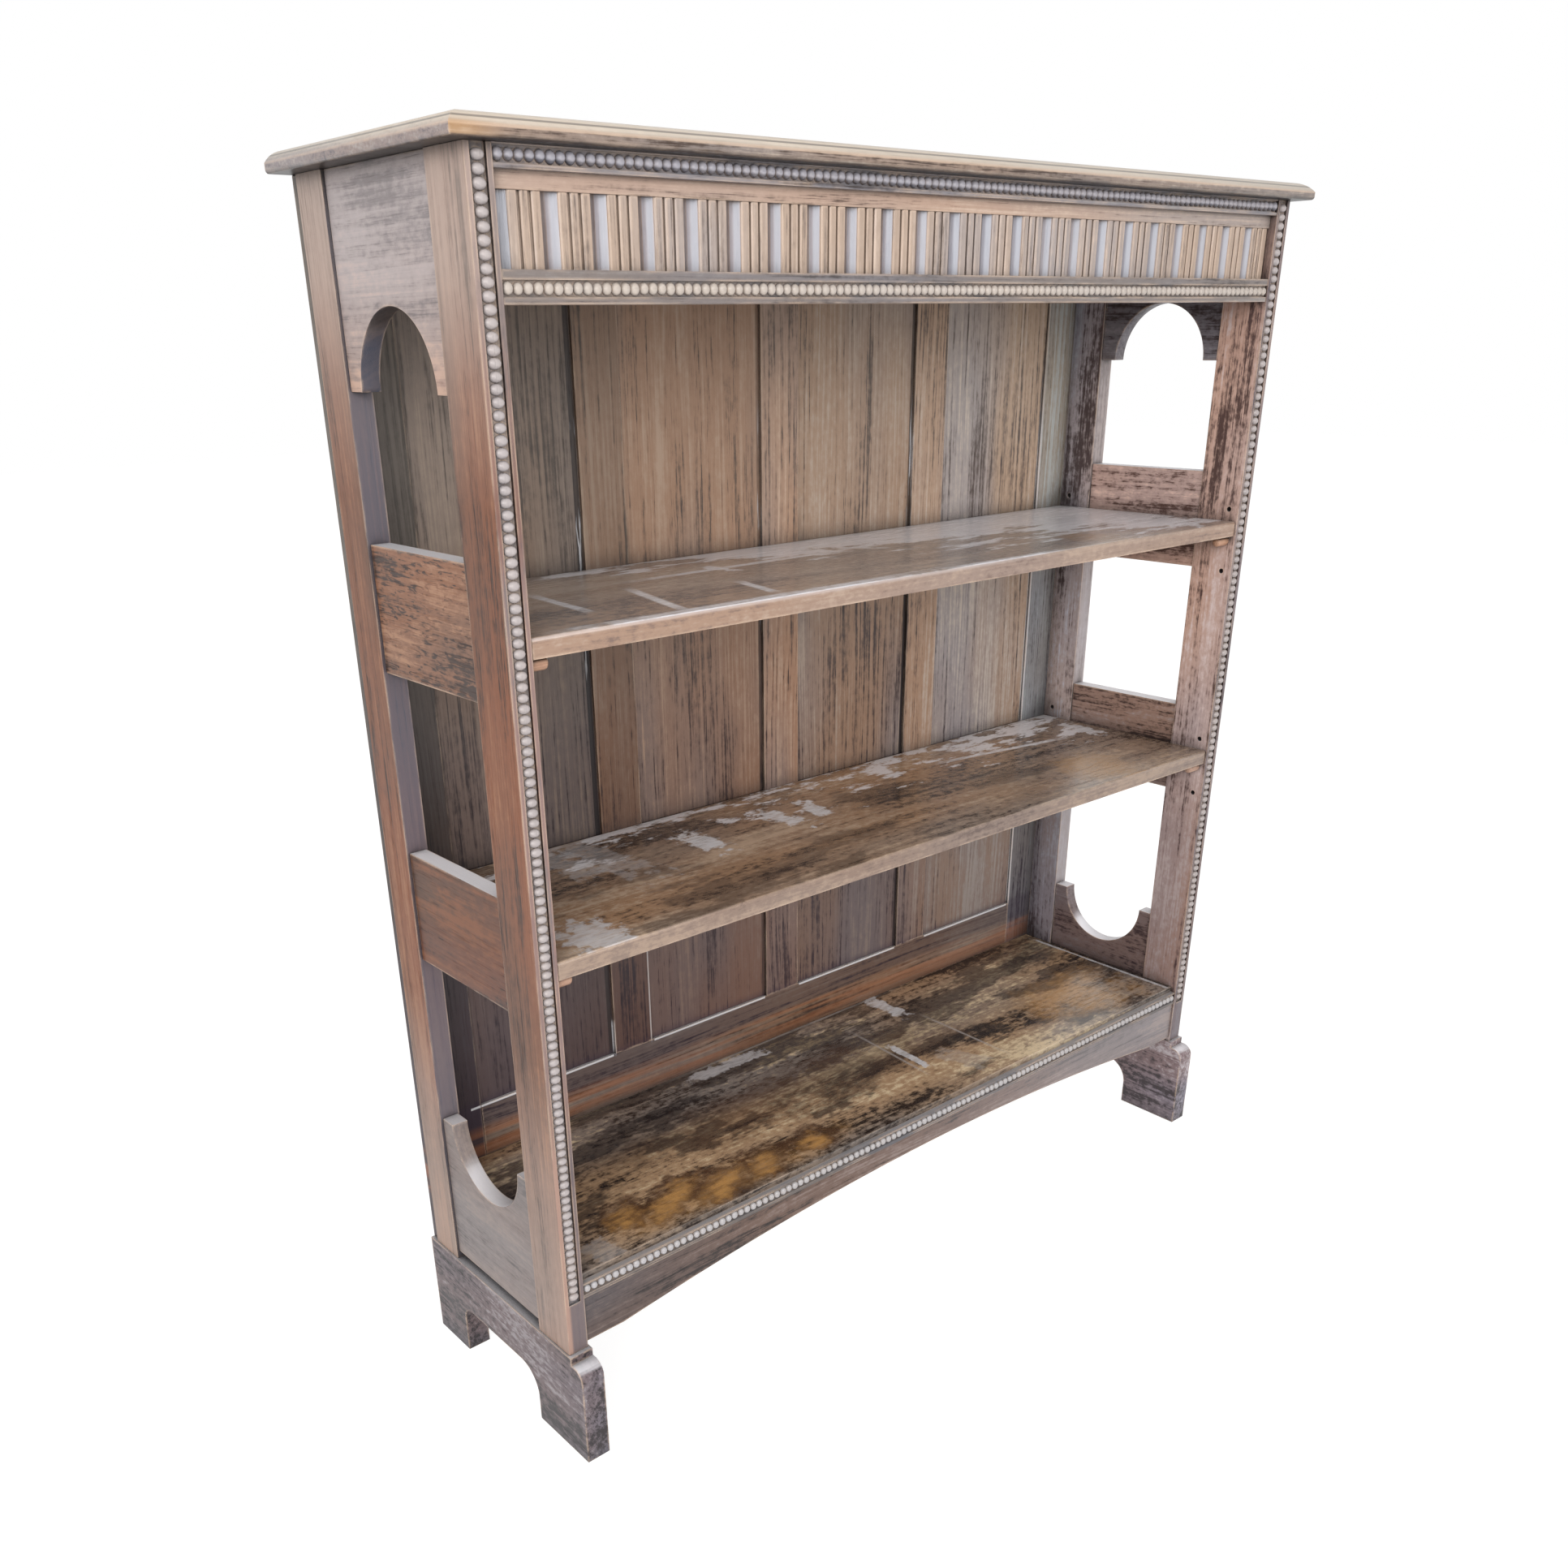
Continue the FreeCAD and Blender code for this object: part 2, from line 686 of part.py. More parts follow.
def board_cleat(side):
    x = inwards(side, RAIL_FACES[1], RAIL_FACES[1] + dim.cleat_side)
    y = behind(WINDOW[0] + dim.cleat_end_gap, WINDOW[1] - dim.cleat_end_gap)
    node(f"{side}_board_cleat", box(x, y, (BOARD_LOW - dim.cleat_side, BOARD_LOW)))


# Loose shelves and their pegs

def shelf(name):
    end = INNER - dim.shelf_end_gap
    y = behind(dim.shelf_setback, dim.side_depth - dim.shelf_back_gap)
    low = SHELVES[name]
    high = low + dim.shelf_thickness
    edge = rounding("x", (-end, end), (y[0], 1, dim.shelf_edge_radius), (high, -1, dim.shelf_edge_radius))
    node(f"{name}_shelf", less(box((-end, end), y, (low, high)), [edge]))


def peg(shelf_name, side, row):
    """A turned peg: a thin shank in the stile and a thick head with a chamfered tip."""
    label = f"{shelf_name}_{side}_{row}_peg"
    body = new_body(label)
    y, z = peg_depth(row), peg_height(shelf_name)
    shank = body.newObject("PartDesign::AdditivePrism", "shank")
    set_peg_prism(shank, inwards(side, dim.peg_hole_wall + dim.glue_gap, dim.stile_thickness), y, z,
                  dim.peg_shank_radius)
    head = body.newObject("PartDesign::AdditivePrism", "head")
    set_peg_prism(head, inwards(side, dim.stile_thickness, dim.stile_thickness + dim.peg_length), y, z,
                  dim.peg_radius)
    doc.recompute()
    pick = max if side == "left" else min
    ends = {f"Face{number}": face.CenterOfMass.x for number, face in enumerate(head.Shape.Faces, 1)}
    tip = body.newObject("PartDesign::Chamfer", "tip")
    tip.Base = (head, [pick(ends, key=ends.get)])
    bind(tip, "Size", dim.peg_tip_chamfer)
    body.Tip = tip
    node(label, body)


# Panelled back, planted on the rear stiles

def back_stile(side):
    x = inwards(side, dim.back_inset, dim.back_inset + dim.back_stile_width)
    groove = inwards(side, HALF - SIGHT_EDGE - dim.back_groove_depth, HALF - SIGHT_EDGE)
    plank = box(x, BACK_FACES, (dim.foot_height, STILE_TOP))
    node(f"back_{side}_stile", less(plank, [box(groove, GROOVE_FACES, (BACK_RAIL_LOW, STILE_TOP))]))


def back_rail(name):
    """A rail between the back's stiles, tongued at both ends and grooved for the panels."""
    x = (-SIGHT_EDGE, SIGHT_EDGE)
    tongue_end = SIGHT_EDGE + TONGUE
    if name == "bottom":
        z = (BACK_RAIL_LOW, PANEL_LOW)
        groove = (PANEL_LOW - dim.back_groove_depth, PANEL_LOW)
        tongue = (BACK_RAIL_LOW, groove[0])
    else:
        z = (PANEL_HIGH, STILE_TOP)
        groove = (PANEL_HIGH, PANEL_HIGH + dim.back_groove_depth)
        tongue = (groove[1], STILE_TOP)
    plank = less(box(x, BACK_FACES, z), [box(x, GROOVE_FACES, groove)])
    node(f"back_{name}_rail", joined([plank, box((-tongue_end, tongue_end), TONGUE_FACES, tongue)]))


def bay_left(index):
    """The left sight edge of a panel bay."""
    return index * (PANEL_WIDTH + dim.back_muntin_width) - SIGHT_EDGE


def back_muntin(index):
    high = bay_left(index)
    low = high - dim.back_muntin_width
    core = (low + dim.back_groove_depth, high - dim.back_groove_depth)
    z = (PANEL_LOW, PANEL_HIGH)
    grooves = [box((low, core[0]), GROOVE_FACES, z), box((core[1], high), GROOVE_FACES, z)]
    tongue = box(core, TONGUE_FACES, (PANEL_LOW - TONGUE, PANEL_HIGH + TONGUE))
    node(f"back_muntin_{index}", joined([less(box((low, high), BACK_FACES, z), grooves), tongue]))


def back_panel(index):
    reach = dim.back_groove_depth - dim.back_panel_float
    left = bay_left(index)
    x = (left - reach, left + PANEL_WIDTH + reach)
    node(f"back_panel_{index + 1}", box(x, TONGUE_FACES, (PANEL_LOW - reach, PANEL_HIGH + reach)))


# The whole bookcase

def build():
    for side in ("left", "right"):
        for row in ("front", "rear"):
            stile(side, row)
        for name in RAILS:
            rail(side, name)
        foot(side)
        stile_strip(side)
        board_cleat(side)
        back_stile(side)
    top_board()
    top_glue_blocks()
    frieze_board()
    fluted_panel()
    cross_strip("frieze_upper_beads", FRIEZE_RAIL_HIGH, STILE_TOP,
                STILE_TOP - dim.upper_strip_margin - dim.bead_channel)
    cross_strip("frieze_lower_beads", FRIEZE_LOW, FLUTE_LOW,
                FLUTE_LOW - dim.lower_strip_margin - dim.bead_channel)
    cross_strip("apron_beads", APRON_STRIP_LOW, APRON_STRIP_HIGH,
                APRON_STRIP_HIGH - dim.apron_strip_margin - dim.bead_channel)
    bottom_board()
    apron()
    for name in SHELVES:
        shelf(name)
        for side in ("left", "right"):
            for row in ("front", "rear"):
                peg(name, side, row)
    for name in ("bottom", "top"):
        back_rail(name)
    for index in range(1, MUNTINS + 1):
        back_muntin(index)
    for index in range(MUNTINS + 1):
        back_panel(index)


def write():
    """Checks every object of the document and writes one file per piece."""
    doc.recompute()
    for item in doc.Objects:
        if "Invalid" in item.State or "Error" in item.State:
            raise RuntimeError(f"{item.Label} failed: {item.State}")
    for item in nodes:
        if item.Shape.isNull() or not item.Shape.isValid():
            raise RuntimeError(f"{item.Label} has no valid shape")
    os.makedirs("parts", exist_ok=True)
    for item in nodes:
        solids = item.Shape.Solids
        shape = solids[0] if len(solids) == 1 else item.Shape
        shape.exportStep(f"parts/{item.Label}.step")


build()
write()
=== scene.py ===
import math
import random

import bmesh
import bpy
from mathutils import Matrix, Vector


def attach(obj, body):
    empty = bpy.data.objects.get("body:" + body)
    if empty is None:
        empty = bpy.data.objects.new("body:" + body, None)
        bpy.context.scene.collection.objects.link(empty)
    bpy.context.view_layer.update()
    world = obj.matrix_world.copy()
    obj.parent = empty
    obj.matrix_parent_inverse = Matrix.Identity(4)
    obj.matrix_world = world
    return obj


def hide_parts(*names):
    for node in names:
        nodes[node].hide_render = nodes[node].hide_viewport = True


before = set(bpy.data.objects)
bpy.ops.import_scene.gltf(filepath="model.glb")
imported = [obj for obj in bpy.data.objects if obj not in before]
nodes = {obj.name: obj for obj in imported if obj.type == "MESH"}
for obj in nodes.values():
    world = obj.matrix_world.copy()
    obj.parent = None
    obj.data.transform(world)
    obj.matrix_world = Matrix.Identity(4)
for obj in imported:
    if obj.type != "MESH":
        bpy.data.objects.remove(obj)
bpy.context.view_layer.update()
rng = random.Random(7)

# Camera, solved from the photograph in the same frame as the model

IMAGE = 1932
FOCAL_PIXELS = 1722.5
CENTRE_PIXEL = (912.2, 1240.1)
SENSOR = 36
EYE = Vector((-1.1618, -1.1532, 1.1032))
RIGHT = Vector((0.7619, -0.6474, -0.0166))
DOWN = Vector((-0.2932, -0.3219, -0.9002))
FORWARD = Vector((0.5775, 0.6908, -0.4351))


def make_camera():
    data = bpy.data.cameras.new("camera")
    data.sensor_width = SENSOR
    data.lens = SENSOR * FOCAL_PIXELS / IMAGE
    data.shift_x = (IMAGE / 2 - CENTRE_PIXEL[0]) / IMAGE
    data.shift_y = (CENTRE_PIXEL[1] - IMAGE / 2) / IMAGE
    data.clip_start = 0.05
    data.clip_end = 60
    camera = bpy.data.objects.new("camera", data)
    bpy.context.scene.collection.objects.link(camera)
    turn = Matrix((RIGHT, -DOWN, -FORWARD)).transposed()
    camera.matrix_world = Matrix.Translation(EYE) @ turn.to_quaternion().to_matrix().to_4x4()
    bpy.context.scene.camera = camera


# Colours

STAIN = 0.77


def decode(value):
    """A screen value, 0 to 255, as the share of light it stands for on the sRGB curve."""
    return ((value + 14.025) / 269.025) ** 2.4 if value > 10.3 else value / 3294.6


def linear(red, green, blue, depth=STAIN):
    """A colour written in screen values, as the shader takes it, deepened by the stain."""
    return [depth * decode(value) for value in (red, green, blue)] + [1]


def toned(tones, level, cool=0.0):
    """A finish made darker or paler, and cooler or warmer."""
    return [(red * level * (1 - cool / 2), green * level, blue * level * (1 + cool / 2))
            for red, green, blue in tones]


WORN = linear(222, 194, 170, 0.9)
# Soiling and painted shade: in crevices, on the ground behind beads and on the shaded side of flutes
GRIME_AND_SHADE = linear(30, 24, 24)
# Painted grey sheen on the left rails and the upper shelf; on the apron it makes the right end paler
PALE_GREY = linear(214, 206, 208)
# Painted warm sheen on the left stiles
WARM_SHEEN = linear(216, 196, 184)
# Painted light on the back's upper part, and painted sheen on the upper shelf
LIT_TAN = linear(208, 191, 174)
# Pale flakes, scratches and streaks, and painted sheen and highlights on faces that look up and on arrises
NEAR_WHITE = linear(246, 244, 248, 1)
SHADE = linear(40, 34, 36)
# Painted shade on the right side and the back, and a dark band on the back's bottom rail
PLUM = linear(60, 47, 66)
SCRAPE = linear(206, 198, 194)
FLAKE = linear(226, 226, 230, 1)
# A worn golden corner, and golden painted reflections on the shelves
GOLD = linear(206, 158, 100)
AMBER = linear(226, 170, 100, 1)
UMBER = linear(92, 62, 42)
RUST = linear(196, 124, 80)
# Painted shade under the beads
SLATE = linear(58, 58, 70)
PALE_EDGE = linear(196, 184, 182)
# Painted shade in the left top rail's arch; elsewhere the darker, cooler front edges of the stiles
COOL_EDGE = linear(66, 71, 88)
# Painted shade on the left rear stile's face that looks forward
REAR_EDGE = linear(104, 106, 120)
STILE_EDGE = linear(132, 124, 134)
STILE_ARRIS = linear(216, 172, 150)
# Painted sheen and highlight in the flutes
FLUTE_SHEEN = linear(172, 171, 181)
FLUTE_SIDE = linear(198, 201, 211)
# Painted light on the top board's top face, and painted sheen on its left end
TOP_FACE = linear(250, 234, 214)
TOP_END = linear(170, 166, 176)
LOWER_SHELF_EDGE = linear(140, 116, 106)
UPPER_SHELF_EDGE = linear(172, 142, 128)
OLD_BRASS = linear(74, 62, 48)
BRASS = linear(150, 126, 84)

# Finishes: the darkest, warm, cool and palest colour of each kind of board

LEFT_SIDE = ((64, 40, 28), (142, 86, 52), (116, 82, 62), (168, 122, 92))
RIGHT_SIDE = ((82, 56, 48), (196, 146, 120), (176, 146, 134), (214, 178, 160))
RAIL = ((60, 40, 30), (148, 104, 76), (124, 102, 90), (180, 142, 116))
FOOT = ((52, 42, 44), (122, 100, 98), (122, 116, 126), (172, 158, 156))
FRIEZE = ((92, 72, 62), (204, 170, 148), (188, 172, 164), (230, 204, 184))
APRON = ((50, 40, 38), (126, 100, 88), (116, 106, 108), (160, 140, 132))
TOP = ((84, 62, 50), (182, 144, 116), (160, 140, 128), (220, 192, 168))
BACK = ((62, 43, 37), (178, 128, 94), (157, 127, 110), (200, 160, 130))
SHELF = ((58, 42, 34), (170, 128, 94), (151, 126, 107), (200, 166, 136))
BOARD = ((36, 24, 18), (164, 118, 82), (126, 103, 87), (210, 166, 122))
PEG = ((150, 108, 84), (206, 160, 132), (200, 164, 146), (232, 198, 172))
BEAD = ((84, 74, 74), (178, 164, 158), (172, 168, 176), (216, 208, 204))
HOLLOW = ((92, 78, 76), (164, 142, 132), (152, 146, 152), (196, 184, 180))
REED = ((108, 94, 88), (194, 170, 152), (180, 168, 164), (222, 200, 184))

# Level and coolness of each rail and each piece of the back, partly painted light and shade

RAIL_LEVELS = {
    "left_bottom_rail": (0.8, 0.1), "left_lower_rail": (0.56, -0.68), "left_upper_rail": (0.96, -0.12),
    "left_top_rail": (1.2, -0.02),
    "right_bottom_rail": (0.98, 0.24), "right_lower_rail": (1.0, 0.18), "right_upper_rail": (1.25, 0.07),
    "right_top_rail": (0.87, 0.28),
}
BACK_LEVELS = {
    "back_left_stile": (0.49, 0.24), "back_panel_1": (0.8, 0.17), "back_muntin_1": (0.83, 0.08),
    "back_panel_2": (1.04, 0.09), "back_muntin_2": (1.2, 0.13), "back_panel_3": (1.16, 0.22),
    "back_muntin_3": (1.31, 0.24), "back_panel_4": (1.4, 0.3), "back_right_stile": (1.34, 0.46),
    "back_bottom_rail": (0.9, 0.22), "back_top_rail": (0.8, 0.1),
}

# Painted light and shade: levels against height, as shares of the ramp height

LIGHT_RAMP_HEIGHT = 1.25
# The left side: painted sheen low down and at the top
LEFT_SHEEN = ((0, 0.28), (0.14, 0.45), (0.28, 0.3), (0.38, 0.03), (0.78, 0.03), (0.85, 0.22), (0.92, 0.62),
              (1, 0.7))
# The right side: painted shade low down and near the top
RIGHT_DARK = ((0, 0.3), (0.2, 0.42), (0.36, 0.3), (0.44, 0), (0.82, 0), (0.9, 0.2), (1, 0.3))
# The back: painted shade, deepest in the lowest bay
BACK_DARK = ((0.2, 0.54), (0.38, 0.48), (0.46, 0.22), (0.62, 0.16), (0.7, 0.02), (1, 0))
# The back: painted light towards the top
BACK_LIGHT = ((0, 0), (0.55, 0), (0.7, 0.18), (1, 0.24))


# Node trees

class Tree:
    """A material's nodes, with short ways to add more."""

    def __init__(self, name):
        self.material = bpy.data.materials.new(name)
        self.material.use_nodes = True
        self.tree = self.material.node_tree
        self.shader = self.tree.nodes["Principled BSDF"]
        self.place = self.add("TexCoord").outputs["Object"]
        self.axis = self.add("SeparateXYZ", {0: self.place}).outputs
        self.normal = self.add("NewGeometry").outputs["Normal"]
        self.look = self.add("SeparateXYZ", {0: self.normal}).outputs

    def add(self, kind, inputs=None, **settings):
        node = self.tree.nodes.new("ShaderNode" + kind)
        for key, value in settings.items():
            setattr(node, key, value)
        for key, value in (inputs or {}).items():
            self.feed(node.inputs[key], value)
        return node

    def feed(self, socket, value):
        if isinstance(value, bpy.types.NodeSocket):
            self.tree.links.new(value, socket)
        else:
            socket.default_value = value

    def math(self, operation, *values):
        return self.add("Math", dict(enumerate(values)), operation=operation).outputs[0]

    def times(self, first, *others):
        for other in others:
            first = self.math("MULTIPLY", first, other)
        return first

    def total(self, start, *terms):
        """A start plus (socket, middle, factor) terms: factor * (socket - middle)."""
        for socket, middle, factor in terms:
            offset = self.math("SUBTRACT", socket, middle)
            start = self.math("ADD", start, self.math("MULTIPLY", offset, factor))
        return start

    def span(self, value, low, high, to_low=0.0, to_high=1.0):
        """A smooth step from one level to another as a value goes from low to high."""
        inputs = {"Value": value, "From Min": low, "From Max": high, "To Min": to_low, "To Max": to_high}
        return self.add("MapRange", inputs, interpolation_type="SMOOTHSTEP").outputs[0]

    def ramp(self, value, stops):
        """A level that changes along a value; a stop is (place, level)."""
        node = self.add("ValToRGB", {0: value})
        band = node.color_ramp.elements
        while len(band) < len(stops):
            band.new(0.5)
        for element, (position, level) in zip(band, stops):
            element.position = position
            element.color = (level, level, level, 1)
        return node.outputs[0]

    def noise(self, vector, detail=2.0, roughness=0.5, distortion=0.0):
        inputs = {"Vector": vector, "Scale": 1.0, "Detail": detail, "Roughness": roughness,
                  "Distortion": distortion}
        return self.add("TexNoise", inputs).outputs[0]

    def scaled(self, vector, scale, offset=(0, 0, 0)):
        return self.add("Mapping", {"Vector": vector, "Scale": scale, "Location": offset}).outputs[0]

    def mix(self, factor, first, second):
        node = self.add("Mix", data_type="RGBA", blend_type="MIX")
        for socket, value in zip((node.inputs[0], node.inputs[6], node.inputs[7]), (factor, first, second)):
            self.feed(socket, value)
        return node.outputs[2]


# Oak: each noise as repeats in a metre across and along the grain, then its detail and roughness

WANDER = (4.5, 1.3)
FIBRES = (340, 9, 3, 0.6)
PATCHES = (13, 3.6, 3, 0.55)
SPECKS = (150, 90, 4, 0.65)
PORES = (760, 34, 1)
TEMPER = (6, 1.7, 2)
CHAFE = (70, 16, 3, 0.65)
COVER = (210, 60, 3, 0.6)
FLAME = (90, 22, 4)
RAYS = (230, 30, 44)
MIDDLE = 0.5
RING_DRIFT = 1.6
WORN_RADIUS = 0.0035
BUMP_DEPTH = 0.0006
BUMP_STRENGTH = 0.3
AXES = "xyz"


class Oak(Tree):
    """Stained oak. axes names the directions across the board, through it and along its grain."""

    def __init__(self, name, axes, seed):
        super().__init__(name)
        self.across, self.depth, self.along = [self.axis[AXES.index(letter)] for letter in axes]
        self.board = self.add("CombineXYZ", {0: self.across, 1: self.depth, 2: self.along}).outputs[0]
        self.offset = (seed * 3.7, seed * 1.3, seed * 2.1)
        self.seed = seed

    def grain_noise(self, across, along, detail=2.0, roughness=0.5):
        vector = self.scaled(self.board, (across, across, along), self.offset)
        return self.noise(vector, detail, roughness)

    def rings(self, pith, slope, density, sway):
        """Growth rings round a pith line that lies beside, behind and askew to the board."""
        wander = self.grain_noise(*WANDER)
        u = self.total(self.across, (wander, MIDDLE, sway), (pith[0], 0, -1))
        v = self.total(self.depth, (self.along, 0, slope), (pith[1], 0, 1))
        radius = self.math("SQRT", self.math("ADD", self.times(u, u), self.times(v, v)))
        place = self.add("CombineXYZ", {0: self.times(radius, density), 1: self.times(self.along, RING_DRIFT),
                                        2: self.seed * 1.7}).outputs[0]
        return self.noise(place, 4, 0.62)

    def facing(self, letter, sign):
        """One on faces that look along an axis."""
        return self.span(self.times(self.look[AXES.index(letter)], sign), 0.5, 0.85)

    def strip(self, letter, low, high, soft=0.001):
        """One between two places on an axis."""
        place = self.axis[AXES.index(letter)]
        return self.times(self.span(place, low - soft, low), self.span(place, high + soft, high))

    def flaking(self, across, along, start, *terms):
        """Ragged patches on a top face, where noise plus (socket, middle, factor) terms passes a level."""
        break_up = self.grain_noise(across, along, 5, 0.68)
        return self.times(self.span(self.total(break_up, *terms), start, start + 0.07), self.facing("z", 1))

    def mark(self, centre, half, turn=0, ragged=0.5, soft=0.4, square=False, fine=60):
        """A ragged patch or line on a top face, its half lengths along and across its own direction."""
        inputs = {"Vector": self.place, "Location": (*centre, 0), "Scale": (*half, 1),
                  "Rotation": (0, 0, math.radians(turn))}
        turned = self.add("Mapping", inputs, vector_type="TEXTURE").outputs[0]
        part = self.add("SeparateXYZ", {0: turned}).outputs
        side, end = self.math("ABSOLUTE", part[0]), self.math("ABSOLUTE", part[1])
        if square:
            distance = self.math("MAXIMUM", side, end)
        else:
            distance = self.math("SQRT", self.math("ADD", self.times(side, side), self.times(end, end)))
        break_up = self.noise(self.scaled(self.place, (fine, fine, fine), self.offset), 4, 0.65)
        distance = self.total(distance, (break_up, MIDDLE, ragged * 4))
        cover = self.span(self.grain_noise(*COVER), 0.28, 0.6, 0.55, 1)
        return self.times(self.span(distance, 1, 1 - soft), cover, self.facing("z", 1))

    def wash(self, colour, tint, strength, mask):
        """A colour with a tint laid over it where the mask says."""
        return self.mix(self.times(mask, strength), colour, tint)


def oak(name, axes, seed, tones, pith=(0.3, 0.06), slope=0.0, density=170, sway=0.05, figure=0.4, fibre=0.5,
        mottle=0.5, speckle=0.3, fleck=0.0, wear=0.5, top_sheen=0.0, grime_and_shade=0.95, reach=0.045, rough=0.42,
        gloss=0.4, light_and_shade_by_height=(), marks=()):
    """Makes an oak material. tones are its darkest, warm, cool and palest colours."""
    wood = Oak(name, axes, seed)
    dark, warm, cool, pale = [linear(*tone) for tone in tones]

    # Grain
    rings = wood.rings(pith, slope, density, sway)
    fine = wood.grain_noise(*FIBRES)
    patch = wood.grain_noise(*PATCHES)
    speck = wood.grain_noise(*SPECKS)
    pores = wood.times(wood.span(wood.grain_noise(*PORES), 0.52, 0.66), wood.span(rings, 0.6, 0.4))
    tone = wood.total(MIDDLE, (rings, MIDDLE, figure * 2.8), (fine, MIDDLE, fibre * 1.8),
                      (patch, MIDDLE, mottle * 1.9), (speck, MIDDLE, speckle * 2.1),
                      (pores, 0.1, -fibre * 0.4))
    if fleck:
        ray = wood.noise(wood.scaled(wood.board, RAYS, wood.offset), distortion=1.6)
        tone = wood.total(tone, (wood.span(ray, 0.52, 0.66), 0, -fleck))
    temper = wood.span(wood.grain_noise(*TEMPER), 0.38, 0.64)
    colour = wood.mix(wood.span(tone, 0, MIDDLE), dark, wood.mix(temper, warm, cool))
    colour = wood.mix(wood.span(tone, MIDDLE, 1), colour, pale)

    # Painted light and shade by height, marks, painted sheen on top, wear, and soiling with painted shade in
    # crevices
    for tint, stops in light_and_shade_by_height:
        level = wood.ramp(wood.math("DIVIDE", wood.axis[2], LIGHT_RAMP_HEIGHT), stops)
        colour = wood.wash(colour, tint, level, wood.span(tone, -0.2, 0.7, 0.6, 1.1))
    for add_mark in marks:
        colour = add_mark(wood, colour)
    # Painted sheen on faces that look up, in patches
    if top_sheen:
        sheen_on_top = wood.times(wood.facing("z", 1), wood.span(patch, 0.05, 0.35))
        colour = wood.wash(colour, NEAR_WHITE, top_sheen, sheen_on_top)
    rounded = wood.add("Bevel", {"Radius": WORN_RADIUS}, samples=3).outputs[0]
    flat = wood.add("VectorMath", {0: wood.normal, 1: rounded}, operation="DOT_PRODUCT").outputs["Value"]
    chafed = wood.times(wood.span(flat, 0.99, 0.87), wood.span(wood.grain_noise(*CHAFE), 0.34, 0.62))
    colour = wood.wash(colour, WORN, wear, chafed)
    # Soiling and painted shade in crevices, from ambient occlusion
    open_air = wood.add("AmbientOcclusion", {"Distance": reach}, samples=4).outputs["AO"]
    colour = wood.mix(wood.span(open_air, 0.84, 0.24, 0, grime_and_shade), colour, GRIME_AND_SHADE)

    # Surface
    height = wood.total(0.0, (rings, MIDDLE, 0.5), (pores, 0, -0.7), (fine, MIDDLE, 0.6),
                        (speck, MIDDLE, speckle))
    bump = {"Strength": BUMP_STRENGTH, "Distance": BUMP_DEPTH, "Height": height}
    wood.feed(wood.shader.inputs["Base Color"], colour)
    wood.feed(wood.shader.inputs["Roughness"], wood.total(rough, (patch, MIDDLE, 0.3), (pores, 0, 0.15)))
    wood.feed(wood.shader.inputs["Normal"], wood.add("Bump", bump).outputs[0])
    wood.shader.inputs["Specular IOR Level"].default_value = gloss
    return wood.material


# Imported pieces

ARRIS = 0.0009
BACK_ARRIS = 0.0012
WELD = 0.00002
SOFT_ANGLE = math.radians(40)


def limits(name):
    """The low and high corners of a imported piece."""
    corners = [vertex.co for vertex in nodes[name].data.vertices]
    return [Vector(pick(corner[axis] for corner in corners) for axis in range(3)) for pick in (min, max)]


def finish_node(name, material, bevel=ARRIS):
    """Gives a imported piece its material, and softens its arrises."""
    piece = nodes[name]
    piece.data.materials.clear()
    piece.data.materials.append(material)
    weld = piece.modifiers.new("weld", "WELD")
    weld.merge_threshold = WELD
    soften = piece.modifiers.new("soften", "BEVEL")
    soften.width = bevel
    soften.segments = 2
    soften.limit_method = "ANGLE"
    soften.angle_limit = SOFT_ANGLE
    soften.harden_normals = True


# Marks of use on the case, and painted light and shade, in metres

LEFT_EDGE_RUBBED = (0.48, 0.9, 0.08)
LEFT_EDGE_LOW = (0, 0.36, 0.06)
LEFT_EDGE_ARRIS = (-0.5465, -0.5505)
# Painted shade in a groove and along the lower edge of the top board
TOP_GROOVE = (1.2428, 1.2438, 0.0006)
TOP_FILLET = (1.2375, 1.239, 0.001)
TOP_LOWER_SHADE = (1.2345, 1.231)
TOP_CORNER = (-0.52, -0.57)
# Painted shade towards the left foot, and paler towards the right
APRON_DARK = (-0.25, -0.53)
APRON_PALER = (-0.2, 0.4)


def face_tint(letter, sign, tint, strength):
    """A tint on the faces that look one way."""
    return lambda wood, colour: wood.wash(colour, tint, strength, wood.facing(letter, sign))


def crest_tint(front, ground, top, dirt_and_shade, under, lean):
    """Front crests rubbed pale and painted as highlights, soiling and painted shade behind, painted shade
    under.
    """
    def add_mark(wood, colour):
        depth = wood.axis[1]
        # Crests rubbed pale and painted as highlights
        colour = wood.wash(colour, linear(*top), 0.75, wood.span(depth, ground, (ground + front) / 2))
        below = wood.total(0.0, (wood.look[2], 0, -0.8), (wood.look[0], 0, -lean))
        # Painted shade on the sides that look down, and left by lean
        colour = wood.wash(colour, SLATE, under, wood.span(below, 0.05, 0.45))
        # Soiling and painted shade on the ground behind each bead
        return wood.wash(colour, GRIME_AND_SHADE, dirt_and_shade, wood.span(depth, front + (ground - front) * 0.7, ground))
    return add_mark


def left_edge_tint(wood, colour):
    """The left stile's front edge, rubbed pale in the middle, and darker and cooler by the foot."""
    front = wood.facing("y", -1)
    colour = wood.wash(colour, PALE_EDGE, 0.3, wood.times(front, wood.strip("z", *LEFT_EDGE_RUBBED)))
    colour = wood.wash(colour, STILE_EDGE, 0.25, front)
    low = wood.strip("z", *LEFT_EDGE_LOW)
    colour = wood.wash(colour, COOL_EDGE, 0.6, wood.times(front, low))
    arris = wood.times(front, low, wood.span(wood.axis[0], *LEFT_EDGE_ARRIS))
    return wood.wash(colour, STILE_ARRIS, 0.6, arris)


